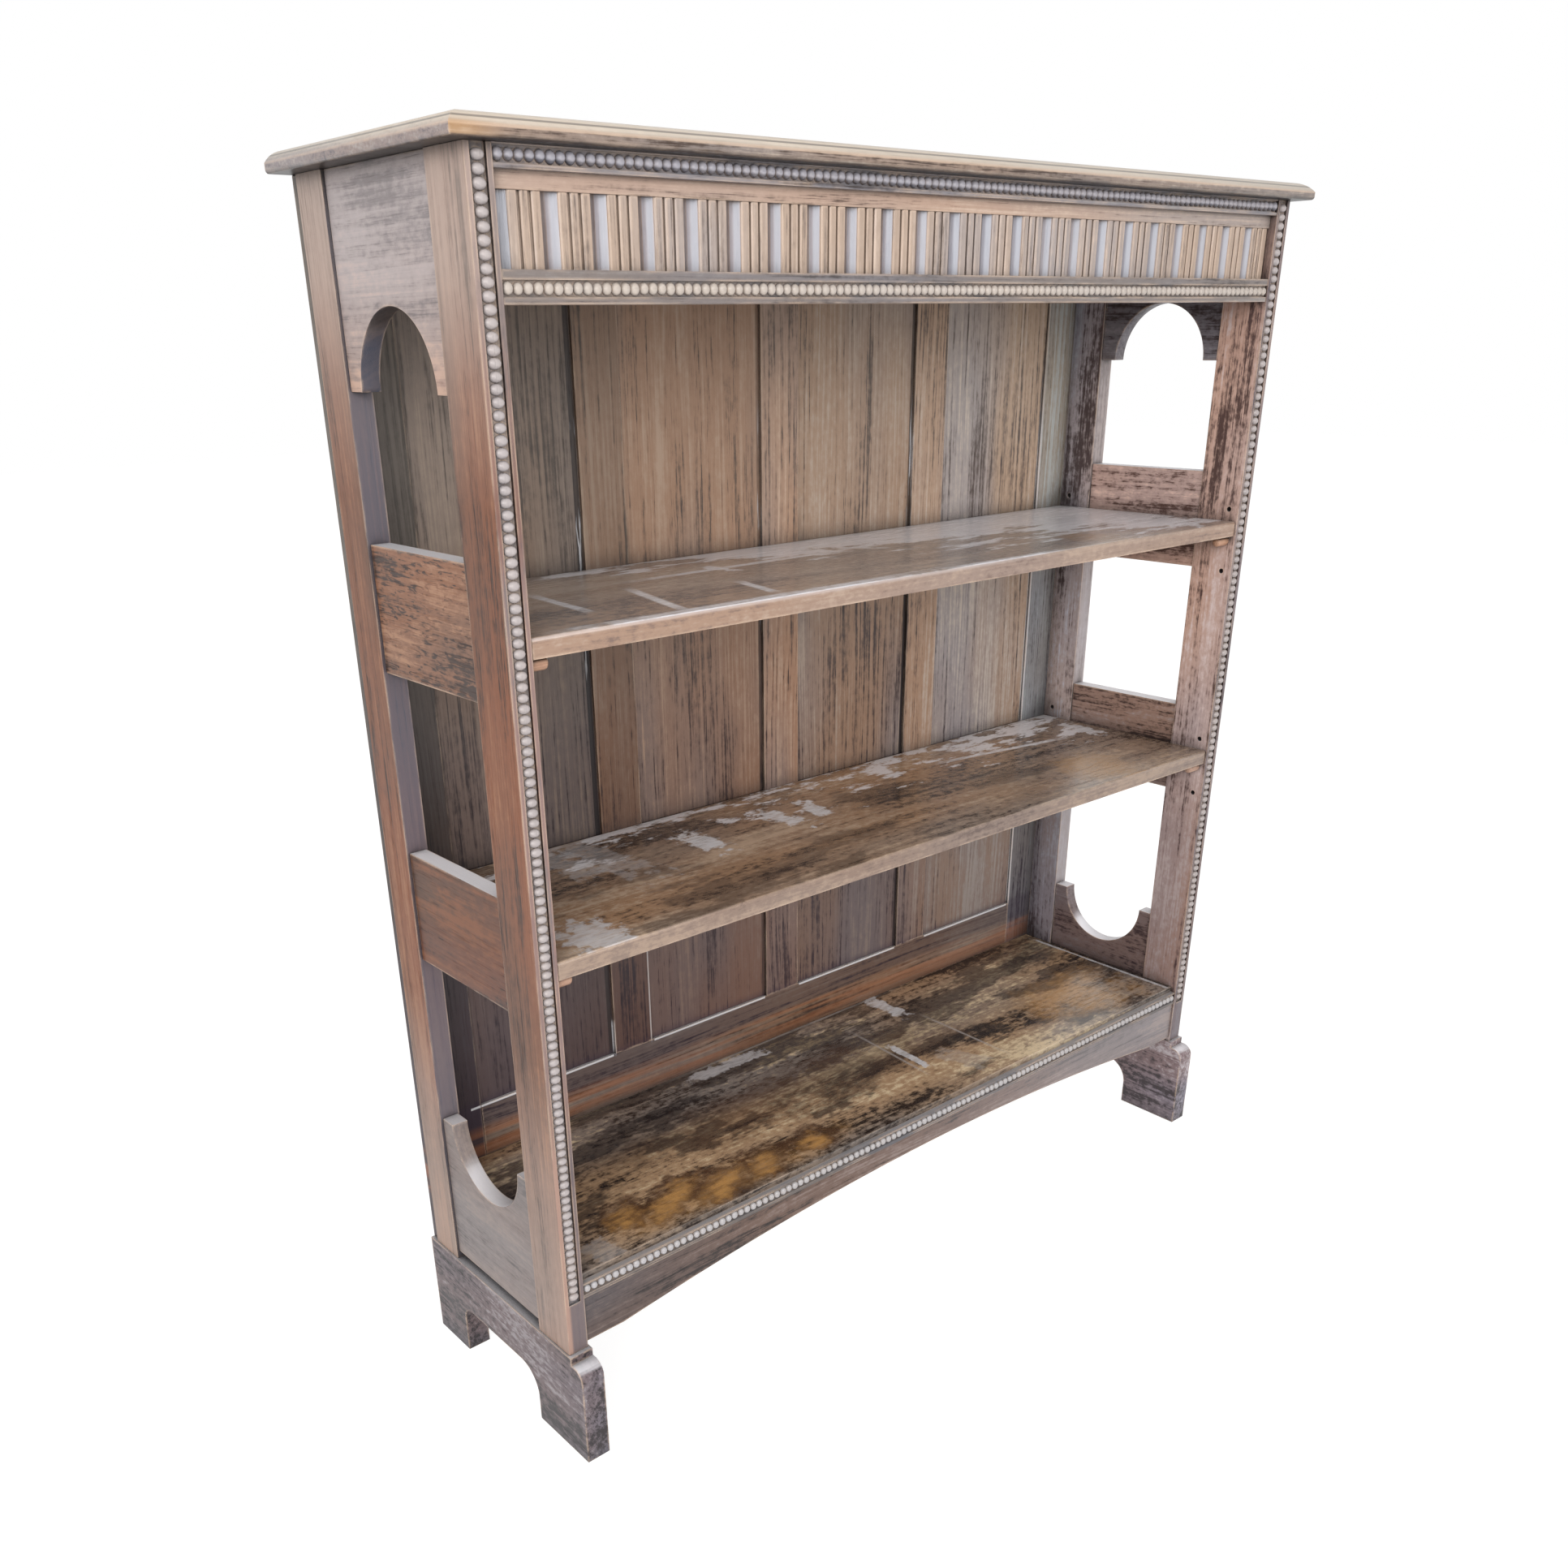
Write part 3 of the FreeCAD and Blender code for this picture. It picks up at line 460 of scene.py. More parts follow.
def hollow_tint(wood, colour):
    """Painted cool sheen and highlight on the side of each flute that looks left, painted shade on the other.
    """
    colour = wood.wash(colour, FLUTE_SHEEN, 0.6, wood.span(wood.look[0], 0.3, 0.1))
    colour = wood.wash(colour, FLUTE_SIDE, 0.6, wood.span(wood.look[0], -0.2, -0.5))
    return wood.wash(colour, GRIME_AND_SHADE, 0.45, wood.span(wood.look[0], 0.2, 0.5))


def top_edge_marks(wood, colour):
    """The moulded edge: painted shade in a groove, a rubbed fillet, painted shade below, a worn front corner.
    """
    colour = wood.wash(colour, SHADE, 0.6, wood.strip("z", *TOP_GROOVE))
    colour = wood.wash(colour, WORN, 0.5, wood.strip("z", *TOP_FILLET))
    colour = wood.wash(colour, SHADE, 0.5, wood.span(wood.axis[2], *TOP_LOWER_SHADE))
    corner = wood.times(wood.facing("y", -1), wood.span(wood.axis[0], *TOP_CORNER))
    colour = wood.wash(colour, GOLD, 0.5, corner)
    # Painted cool sheen on the left end
    return wood.wash(colour, TOP_END, 0.4, wood.facing("x", -1))


def apron_tint(wood, colour):
    """Painted shade towards the left foot, and paler towards the right."""
    colour = wood.wash(colour, SHADE, 0.35, wood.span(wood.axis[0], *APRON_DARK))
    return wood.wash(colour, PALE_GREY, 0.28, wood.span(wood.axis[0], *APRON_PALER))


# Marks of use and painted light on the back. A muntin gap is its left edge, width, and depth in the upper and
# middle bays

MUNTIN_GAPS = ((-0.288, 0.0055, 0.8, 0.95), (-0.033, 0.0045, 0.35, 0.65), (0.22, 0.0045, 0.7, 0.95))
UPPER_BAY = (0.87, 1.14, 0.01)
MIDDLE_BAY = (0.56, 0.87, 0.01)
LOWER_BAY = (0.29, 0.55, 0.01)
FLAKED_HEIGHTS = (0.8, 0.98, 0.06)
LOWER_SHARE = 0.8
# Painted highlights on arrises in the lowest bay, as x, top and strength
ARRIS_LINES = ((-0.2825, 0.325, 0.7), (-0.2255, 0.55, 0.5), (0.476, 0.55, 0.7))
ARRIS_LINE_WIDTH = 0.0018
# Painted light in the crack beside the right stile
RIGHT_LINE = (0.4755, 0.478)
RIGHT_LINE_HEIGHTS = (0.57, 0.9, 0.2)
# Painted highlights along the rail's top arris under each panel
PANEL_FEET = ((-0.49, -0.285), (-0.22, -0.032), (0.032, 0.22), (0.285, 0.472))
RAIL_DARK = (-0.026, 0, 0.012)
RAIL_RUSTY = (-0.08, -0.04, 0.016)
RAIL_LINE = (-0.0022, -0.0004)


def back_marks(wood, colour):
    """Open joints by the muntins, painted arris highlights in the lowest bay, and rusty streaks on the rail.
    """
    specks = wood.span(wood.noise(wood.scaled(wood.place, (240, 240, 16)), 3), 0.56, 0.64)
    for x, width, upper, middle in MUNTIN_GAPS:
        edge = wood.strip("x", x, x + width)
        colour = wood.wash(colour, SHADE, upper, wood.times(edge, wood.strip("z", *UPPER_BAY)))
        colour = wood.wash(colour, SHADE, middle, wood.times(edge, wood.strip("z", *MIDDLE_BAY)))
        flaked = wood.times(edge, specks, wood.strip("z", *FLAKED_HEIGHTS))
        colour = wood.wash(colour, FLAKE, upper, flaked)
        low = wood.times(edge, wood.strip("z", *LOWER_BAY))
        colour = wood.wash(colour, SHADE, middle * LOWER_SHARE, low)
    # Painted highlights on arrises in the lowest bay
    for x, top, strength in ARRIS_LINES:
        line = wood.times(wood.strip("x", x, x + ARRIS_LINE_WIDTH), wood.strip("z", LOWER_BAY[0], top, 0.01))
        colour = wood.wash(colour, FLAKE, strength, line)
    # Painted light in the crack beside the right stile
    line = wood.times(wood.strip("x", *RIGHT_LINE), wood.strip("z", *RIGHT_LINE_HEIGHTS))
    colour = wood.wash(colour, FLAKE, 0.6, line)
    rail_top = limits("back_bottom_rail")[1].z
    streaks = wood.span(wood.noise(wood.scaled(wood.place, (2.5, 60, 90)), 3), 0.36, 0.62)
    dark = wood.strip("z", rail_top + RAIL_DARK[0], rail_top + RAIL_DARK[1], RAIL_DARK[2])
    colour = wood.wash(colour, PLUM, 0.4, dark)
    rusty = wood.strip("z", rail_top + RAIL_RUSTY[0], rail_top + RAIL_RUSTY[1], RAIL_RUSTY[2])
    colour = wood.wash(colour, RUST, 0.5, wood.times(rusty, streaks))
    # A painted highlight along the rail's top arris under each panel
    under_panels = wood.strip("z", rail_top + RAIL_LINE[0], rail_top + RAIL_LINE[1])
    for low, high in PANEL_FEET:
        colour = wood.wash(colour, FLAKE, 0.85, wood.times(wood.strip("x", low, high), under_panels))
    return colour


# Upper shelf: a scratch is its centre, length and turn; a band its place, length and half width

UPPER_SCRATCHES = (((-0.417, -0.006), 0.14, 85), ((-0.339, -0.054), 0.168, 76),
                   ((-0.224, -0.069), 0.094, 78), ((-0.125, 0.050), 0.415, 1))
UPPER_SCRATCH_HALF_WIDTH = 0.0075
# The first two bands are a painted highlight along the front arris, the last two pale streaks at the back
UPPER_BANDS = ((-0.26, -0.126, 0.56, 0.013), (0.08, -0.129, 0.24, 0.008), (0.34, 0.098, 0.36, 0.01),
               (0.3, 0.128, 0.46, 0.014))
UPPER_FLAKES = (((-0.176, 0.050), (0.03, 0.012), 100), ((-0.137, 0.130), (0.02, 0.012), 150),
                ((0.035, 0.053), (0.038, 0.008), -47), ((0.495, 0.080), (0.03, 0.075), 0),
                ((0.470, -0.103), (0.038, 0.014), 60))
# A patch of painted sheen, a golden painted reflection, and a painted highlight on the front arris
UPPER_SHEEN = ((-0.43, 0.105), (0.1, 0.035))
UPPER_GLINT = ((0.290, -0.090), (0.05, 0.06))
UPPER_ARRIS = (0.8695, 0.8735)
UPPER_ARRIS_END = (0.2, 0.0)


def upper_shelf_marks(wood, colour):
    """Painted sheen, whitish patches thickening back and right, pale scratches, flakes, painted highlights.
    """
    # Painted grey sheen over the top face
    colour = wood.wash(colour, PALE_GREY, 0.32, wood.facing("z", 1))
    lightening = wood.flaking(30, 8, 0.46, (wood.axis[1], 0.03, 1.7), (wood.axis[0], 0.1, 0.5))
    colour = wood.wash(colour, NEAR_WHITE, 1.0, lightening)
    for centre, length, turn in UPPER_SCRATCHES:
        size = (length / 2, UPPER_SCRATCH_HALF_WIDTH)
        scratch = wood.mark(centre, size, turn, ragged=0.12, soft=0.6, square=True, fine=70)
        colour = wood.wash(colour, NEAR_WHITE, 1.0, scratch)
    # A painted highlight along the front arris, and pale streaks at the back
    for x, y, length, width in UPPER_BANDS:
        band = wood.mark((x, y), (length / 2, width), ragged=0.22, soft=0.6, square=True, fine=45)
        colour = wood.wash(colour, NEAR_WHITE, 1.0, band)
    # A painted highlight along the front arris
    arris = wood.times(wood.facing("y", -1), wood.span(wood.axis[2], *UPPER_ARRIS),
                       wood.span(wood.axis[0], *UPPER_ARRIS_END))
    colour = wood.wash(colour, NEAR_WHITE, 0.6, arris)
    # A patch of painted sheen at the back left
    colour = wood.wash(colour, LIT_TAN, 0.5, wood.mark(*UPPER_SHEEN, soft=0.6))
    for centre, half, turn in UPPER_FLAKES:
        colour = wood.wash(colour, NEAR_WHITE, 0.9, wood.mark(centre, half, turn))
    # A golden painted reflection at the front right
    return wood.wash(colour, GOLD, 0.45, wood.mark(*UPPER_GLINT, ragged=0.3, soft=0.7, fine=30))


# Lower shelf: a flake is its centre, half lengths, turn and strength

LOWER_FLAKES = (((-0.370, 0.085), (0.055, 0.03), 95, 0.35), ((-0.330, 0.080), (0.09, 0.03), 95, 0.3),
                ((-0.213, 0.045), (0.042, 0.018), 98, 1.0), ((-0.088, 0.047), (0.04, 0.017), 100, 1.0),
                ((-0.035, 0.048), (0.034, 0.013), 80, 1.0), ((-0.467, -0.105), (0.05, 0.035), 90, 0.7),
                ((0.503, 0.055), (0.035, 0.014), 80, 0.9))
LOWER_SCRATCH = ((0.336, 0.059), (0.142, 0.006), -9)
# A golden painted reflection at the front right
LOWER_GLARE = ((0.360, -0.075), (0.075, 0.08))


def lower_shelf_marks(wood, colour):
    """Dark stains, white flakes towards the back, a long scratch and a golden painted reflection."""
    colour = wood.wash(colour, SHADE, 0.5, wood.flaking(11, 4, 0.5, (wood.axis[0], 0.1, -0.1)))
    flaked = wood.flaking(30, 12, 0.57, (wood.axis[1], 0.06, 1.2), (wood.axis[0], 0, 0.08))
    colour = wood.wash(colour, NEAR_WHITE, 0.85, flaked)
    for centre, half, turn, strength in LOWER_FLAKES:
        colour = wood.wash(colour, FLAKE, strength, wood.mark(centre, half, turn, ragged=0.7, square=True))
    scratch = wood.mark(*LOWER_SCRATCH, ragged=0.15, soft=0.7, square=True, fine=90)
    colour = wood.wash(colour, NEAR_WHITE, 0.9, scratch)
    # A golden painted reflection at the front right
    return wood.wash(colour, GOLD, 0.85, wood.mark(*LOWER_GLARE, ragged=0.3, soft=0.8, fine=30))


# Bottom board: patches, the golden flames of the figure, flakes and scratches

BOARD_PATCHES = (((-0.05, 0.02), (0.38, 0.075), UMBER, 0.7), ((-0.30, -0.092), (0.22, 0.04), AMBER, 0.35),
                 ((0.40, -0.05), (0.14, 0.085), AMBER, 0.5), ((-0.04, -0.015), (0.16, 0.045), SHADE, 0.7),
                 ((-0.32, 0.035), (0.18, 0.045), SHADE, 0.4), ((0.47, 0.1), (0.09, 0.07), SHADE, 0.8))
BOARD_FLAMES = ((-0.435, -0.073, 0.04), (-0.371, -0.078, 0.075), (-0.308, -0.094, 0.067),
                (-0.236, -0.091, 0.045), (-0.165, -0.096, 0.04))
FLAME_TURN = 24
FLAME_RIM = 0.033
FLAME_HEART = 0.024
RIM_SHIFT = (0.006, 0.005)
HEART_INSET = 0.006
BOARD_FLAKES = (((-0.485, -0.11), (0.026, 0.018), 100, SCRAPE, 0.5),
                ((0.167, 0.108), (0.045, 0.014), 91, FLAKE, 0.9),
                ((0.082, -0.02), (0.04, 0.007), 88, FLAKE, 0.9),
                ((0.132, -0.07), (0.036, 0.02), 110, SCRAPE, 0.35),
                ((-0.12, 0.126), (0.07, 0.012), 0, FLAKE, 0.7),
                # A pale line of painted light at the right end, and the dark gap beside it
                ((0.521, 0.0), (0.003, 0.135), 0, FLAKE, 0.85),
                ((0.5265, 0.0), (0.003, 0.135), 0, SHADE, 0.9))
BOARD_SCRATCHES = (((0.069, 0.007), 0.19, 86), ((0.187, -0.020), 0.19, 90), ((0.0, 0.143), 0.5, 0))
BOARD_SCRATCH_HALF_WIDTH = 0.003


def board_marks(wood, colour):
    """Dark patches, thicker to the back, over a brown middle; golden flames at the front; white flakes,
    scratches.
    """
    colour = wood.wash(colour, SHADE, 0.7, wood.flaking(16, 6, 0.5, (wood.axis[1], -0.02, 0.4)))
    for centre, half, tint, strength in BOARD_PATCHES:
        colour = wood.wash(colour, tint, strength, wood.mark(centre, half, ragged=0.4, soft=0.8, fine=20))
    streaky = wood.span(wood.grain_noise(*FLAME), 0.3, 0.56, 0.3, 1)
    for x, y, length in BOARD_FLAMES:
        rim_place = (x + RIM_SHIFT[0], y + RIM_SHIFT[1])
        rim = wood.mark(rim_place, (length, FLAME_RIM), FLAME_TURN, ragged=0.45, soft=0.35, fine=45)
        colour = wood.wash(colour, UMBER, 0.8, rim)
        heart_size = (length - HEART_INSET, FLAME_HEART)
        heart = wood.mark((x, y), heart_size, FLAME_TURN, ragged=0.45, soft=0.8, fine=45)
        colour = wood.wash(colour, AMBER, 0.65, wood.times(heart, streaky))
    for centre, half, turn, tint, strength in BOARD_FLAKES:
        colour = wood.wash(colour, tint, strength, wood.mark(centre, half, turn, soft=0.3, square=True))
    for centre, length, turn in BOARD_SCRATCHES:
        size = (length / 2, BOARD_SCRATCH_HALF_WIDTH)
        scratch = wood.mark(centre, size, turn, ragged=0.12, soft=0.7, square=True, fine=90)
        colour = wood.wash(colour, SCRAPE, 0.7, scratch)
    return colour


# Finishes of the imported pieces

STILES = ("front_stile", "rear_stile")
RAILS = ("bottom_rail", "lower_rail", "upper_rail", "top_rail")
BOOK_BOARD = {"figure": 0.35, "mottle": 0.9, "fibre": 0.35, "speckle": 0.7, "grime_and_shade": 0.45, "rough": 0.22,
              "gloss": 0.5}


def dress_left():
    for seed, part in enumerate(STILES, 1):
        # The rear stile's face that looks forward, inside the case, is in painted shade
        edge = left_edge_tint if part == "front_stile" else face_tint("y", -1, REAR_EDGE, 0.75)
        # Painted warm sheen low down and at the top, and painted sheen on faces that look up
        look = oak(f"left_{part}_oak", "yxz", seed, toned(LEFT_SIDE, 0.93, -0.14), fibre=0.6, mottle=0.9,
                   top_sheen=0.8, wear=0.7, light_and_shade_by_height=[(WARM_SHEEN, LEFT_SHEEN)], marks=[edge])
        finish_node(f"left_{part}", look)
    for seed, part in enumerate(RAILS, 3):
        name = f"left_{part}"
        # Painted grey sheen by height and on faces that look up; painted shade in the top rail's arch
        lightening, top_sheen, fleck, shades = LEFT_SHEEN, 0.9, 0.0, []
        if part == "bottom_rail":
            lightening, top_sheen = [(place, level * 0.7) for place, level in LEFT_SHEEN], 0.6
        if part == "upper_rail":
            fleck = 0.4
        if part == "top_rail":
            shades = [face_tint("y", -1, COOL_EDGE, 0.9), face_tint("z", -1, SHADE, 0.9)]
        look = oak(name + "_oak", "zxy", seed, toned(RAIL, *RAIL_LEVELS[name]), figure=0.55, fibre=0.35,
                   mottle=1.2, speckle=0.5, fleck=fleck, top_sheen=top_sheen, wear=0.9, light_and_shade_by_height=[(PALE_GREY, lightening)],
                   marks=shades)
        finish_node(name, look)


def dress_right():
    edges = {"front_stile": (COOL_EDGE, 0.62), "rear_stile": (PALE_EDGE, 0.6)}
    levels = {"front_stile": (1.26, 0.18), "rear_stile": (1.28, 0.34)}
    for seed, part in enumerate(STILES, 8):
        # Painted shade low down and near the top, and painted sheen on faces that look up
        look = oak(f"right_{part}_oak", "yxz", seed, toned(RIGHT_SIDE, *levels[part]), fibre=0.6, mottle=0.9,
                   speckle=0.6, top_sheen=0.8, wear=0.8, light_and_shade_by_height=[(PLUM, RIGHT_DARK)],
                   marks=[face_tint("y", -1, *edges[part])])
        finish_node(f"right_{part}", look)
    for seed, part in enumerate(RAILS, 10):
        name = f"right_{part}"
        # The rails too: painted shade by height and painted sheen on faces that look up
        look = oak(name + "_oak", "zxy", seed, toned(RIGHT_SIDE, *RAIL_LEVELS[name]), figure=0.4, fibre=0.5,
                   mottle=0.9, speckle=0.6, fleck=0.2, top_sheen=1.0, wear=0.9, light_and_shade_by_height=[(PLUM, RIGHT_DARK)])
        finish_node(name, look)


def dress_feet():
    levels = {"left": 1.02, "right": 1.22}
    for seed, side in enumerate(levels, 15):
        # Painted sheen on the faces of the feet that look up
        look = oak(f"{side}_foot_oak", "zxy", seed, toned(FOOT, levels[side], 0.06), figure=0.3, mottle=1.2,
                   speckle=0.9, wear=1.0, top_sheen=0.6)
        finish_node(f"{side}_foot", look)
        finish_node(f"{side}_board_cleat", oak(f"{side}_cleat_oak", "zxy", seed + 2, BACK))


def dress_boards():
    """The top board and its blocks, the frieze board, and the three boards that carry books."""
    # Painted shade on the underside, painted light on the top face
    top_marks = [face_tint("z", -1, SHADE, 0.8), face_tint("z", 1, TOP_FACE, 0.75), top_edge_marks]
    finish_node("top_board", oak("top_oak", "yzx", 21, toned(TOP, 0.96, 0.1), fibre=0.7, wear=1.0, rough=0.35,
                                 speckle=0.5, marks=top_marks))
    finish_node("top_glue_blocks", oak("glue_block_oak", "zyx", 22, BACK))
    finish_node("frieze_board", oak("frieze_oak", "zyx", 23, FRIEZE, wear=0.8, fibre=0.5))
    # The bottom board's front face in painted shade
    front = face_tint("y", -1, SHADE, 0.35)
    finish_node("bottom_board", oak("board_oak", "yzx", 25, toned(BOARD, 1.45, 0.25), pith=(-0.16, 0.03),
                                    slope=0.05, density=75, sway=0.16, marks=[board_marks, front],
                                    **BOOK_BOARD))
    front = face_tint("y", -1, LOWER_SHELF_EDGE, 0.55)
    finish_node("lower_shelf", oak("lower_shelf_oak", "yzx", 26, toned(SHELF, 1.14, 0.1), density=150,
                                   sway=0.08, wear=0.9, marks=[lower_shelf_marks, front], **BOOK_BOARD))
    front = face_tint("y", -1, UPPER_SHELF_EDGE, 0.55)
    finish_node("upper_shelf", oak("upper_shelf_oak", "yzx", 27, toned(SHELF, 1.18, 0.14), density=150,
                                   sway=0.08, wear=1.0, marks=[upper_shelf_marks, front], **BOOK_BOARD))


def dress_back():
    """Straight grain in each piece of the back, apart from the flame in its second panel."""
    for seed, name in enumerate(sorted(name for name in nodes if name.startswith("back_")), 31):
        grain = {"pith": (limits(name)[1].x + 0.3, -0.12), "slope": 0.012, "density": 260, "sway": 0.05}
        if name == "back_panel_2":
            grain = {"pith": (-0.15, -0.163), "slope": 0.03, "density": 200, "sway": 0.03}
        axes = "zyx" if name.endswith("_rail") else "xyz"
        # Painted shade that deepens downwards and painted light towards the top, except on the bottom rail
        light_and_shade_by_height = [] if name == "back_bottom_rail" else [(PLUM, BACK_DARK), (LIT_TAN, BACK_LIGHT)]
        look = oak(name + "_oak", axes, seed, toned(BACK, *BACK_LEVELS[name]), figure=0.5, mottle=0.8,
                   fibre=0.55, speckle=0.35, top_sheen=0.9, wear=0.8, light_and_shade_by_height=light_and_shade_by_height, marks=[back_marks], **grain)
        finish_node(name, look, BACK_ARRIS)


# Pieces made here in place of plainer imported ones

SHARP = math.radians(38)


def make_piece(name, mesh, looks, body, slot, *replaced):
    """Turns a finished mesh into a piece that rides on a body."""
    bmesh.ops.recalc_face_normals(mesh, faces=mesh.faces)
    for face in mesh.faces:
        face.smooth = True
    for edge in mesh.edges:
        edge.smooth = edge.calc_face_angle(0) < SHARP
    data = bpy.data.meshes.new(name)
    mesh.to_mesh(data)
    mesh.free()
    for material in looks:
        data.materials.append(material)
    piece = bpy.data.objects.new(name, data)
    bpy.context.scene.collection.objects.link(piece)
    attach(piece, body)
    if replaced:
        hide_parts(*replaced)


def add_bar(mesh, outline, axis, low, high, looks=()):
    """A closed bar: an outline drawn out along an axis. looks are the sides' material numbers."""
    ends = []
    for level in (low, high):
        corners = [list(point) for point in outline]
        for corner in corners:
            corner.insert(AXES.index(axis), level)
        ends.append([mesh.verts.new(corner) for corner in corners])
    mesh.faces.new(ends[0])
    mesh.faces.new(ends[1])
    for number in range(len(outline)):
        side = mesh.faces.new((ends[0][number - 1], ends[0][number], ends[1][number], ends[1][number - 1]))
        side.material_index = looks[number] if looks else 0


def add_turning(mesh, profile, place, sides, spread=(1, 1), look=0):
    """A turned solid: (radius, height) pairs from foot to tip, on the z axis of a place."""
    rings = []
    for radius, height in profile:
        turns = [2 * math.pi * number / sides for number in range(sides if radius else 1)]
        points = [Vector((radius * math.cos(turn) * spread[0], radius * math.sin(turn) * spread[1], height))
                  for turn in turns]
        rings.append([mesh.verts.new(place @ point) for point in points])
    mesh.faces.new(rings[0])
    for lower, upper in zip(rings, rings[1:]):
        for number in range(sides):
            tip = upper if len(upper) == 1 else [upper[number], upper[number - 1]]
            mesh.faces.new([lower[number - 1], lower[number], *tip]).material_index = look
    if len(rings[-1]) > 1:
        mesh.faces.new(rings[-1])


# Beaded strips

BEAD_PITCH = 0.0092
BEAD_HEIGHT = 0.0048
BEAD_SINK = 0.0004
BEAD_WANDER = 0.0002
BEAD_SIDES = 12
CHANNEL_DEPTH = 0.003
CHANNEL = 0.012
CROSS_BEAD = 0.0102
STILE_BEAD = 0.0126
FACE_FORWARD = Matrix.Rotation(math.radians(90), 4, "X")
DOME = [(math.cos(turn) ** 0.6, math.sin(turn)) for turn in (0, 0.4, 0.8, 1.15, 1.4)] + [(0, 1)]


def add_beads(mesh, axis, low, high, across, ground, width):
    """A row of hand-cut beads along x or z, as many as fit, no two quite the same."""
    count = math.floor((high - low) / BEAD_PITCH)
    start = (low + high - (count - 1) * BEAD_PITCH) / 2
    foot = ground + BEAD_SINK
    for number in range(count):
        along = start + number * BEAD_PITCH + rng.uniform(-BEAD_WANDER, BEAD_WANDER)
        aside = across + rng.uniform(-BEAD_WANDER, BEAD_WANDER)
        centre = Vector((along, foot, aside) if axis == "x" else (aside, foot, along))
        size = rng.uniform(0.93, 1.03)
        spread = [BEAD_PITCH / 2 * size, width / 2 * size]
        rise = (BEAD_HEIGHT + BEAD_SINK) * rng.uniform(0.88, 1.0)
        place = Matrix.Translation(centre) @ FACE_FORWARD
        add_turning(mesh, [(radius, height * rise) for radius, height in DOME], place, BEAD_SIDES,
                    spread if axis == "x" else spread[::-1], 1)


def bead_looks(name, axes, ground, tip, level, top, dirt_and_shade, under, lean):
    """The strip's own finish, and that of its beads."""
    # Painted sheen on faces that look up, soiling and painted shade in crevices
    strip = oak(name + "_strip_oak", axes, 50, toned(BEAD, level), figure=0.3, reach=0.008, rough=0.3,
                wear=0.8, grime_and_shade=0.4, top_sheen=0.25)
    beads = oak(name + "_bead_oak", axes, 52, BEAD, figure=0.2, reach=0.006, rough=0.3, grime_and_shade=0.3,
                marks=[crest_tint(tip, ground, top, dirt_and_shade, under, lean)])
    return [strip, beads]


def cross_strip(name, margin, level, top, dirt_and_shade, under):
    """A strip across the front: a channel full of beads. margin is the height of its upper fillet."""
    low, high = limits(name)
    ground = low.y + BEAD_HEIGHT
    face = ground - CHANNEL_DEPTH
    upper = high.z - margin
    lower = upper - CHANNEL
    mesh = bmesh.new()
    add_bar(mesh, [(face, low.z), (high.y, low.z), (high.y, high.z), (face, high.z), (face, upper),
                   (ground, upper), (ground, lower), (face, lower)], "x", low.x, high.x)
    add_beads(mesh, "x", low.x, high.x, (upper + lower) / 2, ground, CROSS_BEAD)
    looks = bead_looks(name, "zyx", ground, low.y, level, top, dirt_and_shade, under, lean=0)
    make_piece(name + "_carved", mesh, looks, "case", "carved_wood", name)


def stile_strip(name):
    """A row of beads up the front of a stile."""
    low, high = limits(name)
    ground = low.y + BEAD_HEIGHT
    mesh = bmesh.new()
    add_bar(mesh, [(low.x, ground), (high.x, ground), (high.x, high.y), (low.x, high.y)], "z", low.z, high.z)
    add_beads(mesh, "z", low.z, high.z, (low.x + high.x) / 2, ground, STILE_BEAD)
    # The crest colour is partly a painted highlight; painted shade behind and under the beads
    looks = bead_looks(name, "xyz", ground, low.y, level=0.76, top=(202, 192, 190), dirt_and_shade=0.3, under=0.2,
                       lean=0.5)
    make_piece(name + "_carved", mesh, looks, "case", "carved_wood", name)


# Arched apron

ARCH_RISE = 0.0315
ARCH_END = 0.05
ARCH_STEPS = 48


def arched_apron():
    """The rail under the board, with a flat arch below and a rebate above for its beaded strip."""
    low, high = limits("apron")
    strip_low, strip_high = limits("apron_beads")
    end = limits("right_front_stile")[0].x
    span = end - ARCH_END
    mesh = bmesh.new()
    sections = []
    for x in [-end, *(span * (2 * step / ARCH_STEPS - 1) for step in range(ARCH_STEPS + 1)), end]:
        under = low.z + max(0, ARCH_RISE * (1 - (x / span) ** 2))
        outline = ((low.y, under), (low.y, strip_low.z), (strip_high.y, strip_low.z), (strip_high.y, high.z),
                   (high.y, high.z), (high.y, under))
        sections.append([mesh.verts.new((x, y, z)) for y, z in outline])
    mesh.faces.new(sections[0])
    mesh.faces.new(sections[-1])
    for first, second in zip(sections, sections[1:]):
        for number in range(len(first)):
            mesh.faces.new((first[number - 1], first[number], second[number], second[number - 1]))
    look = oak("apron_oak", "zyx", 24, toned(APRON, 0.95), figure=0.5, fibre=0.5, mottle=0.9, speckle=0.5,
               wear=0.8, marks=[apron_tint])
    make_piece("apron_arched", mesh, [look], "case", "case_wood", "apron")


# Fluted frieze

FLUTE_PERIOD = 0.046
FLUTE_WIDTH = 0.0154
FLUTE_DEPTH = 0.004
REEDS = 3
REED_WIDTH = 0.0102
REED_GAP = 0.0024
REED_EDGE = 0.0003
REED_WANDER = 0.0003
REED_RISE = 0.002
REED_ROUND = 0.0011
GROOVE_DEPTH = 0.0012
HOLLOW_STEPS = 10
PERIOD_SLACK = 0.01
IN_HOLLOW, ON_REED = 0, 1


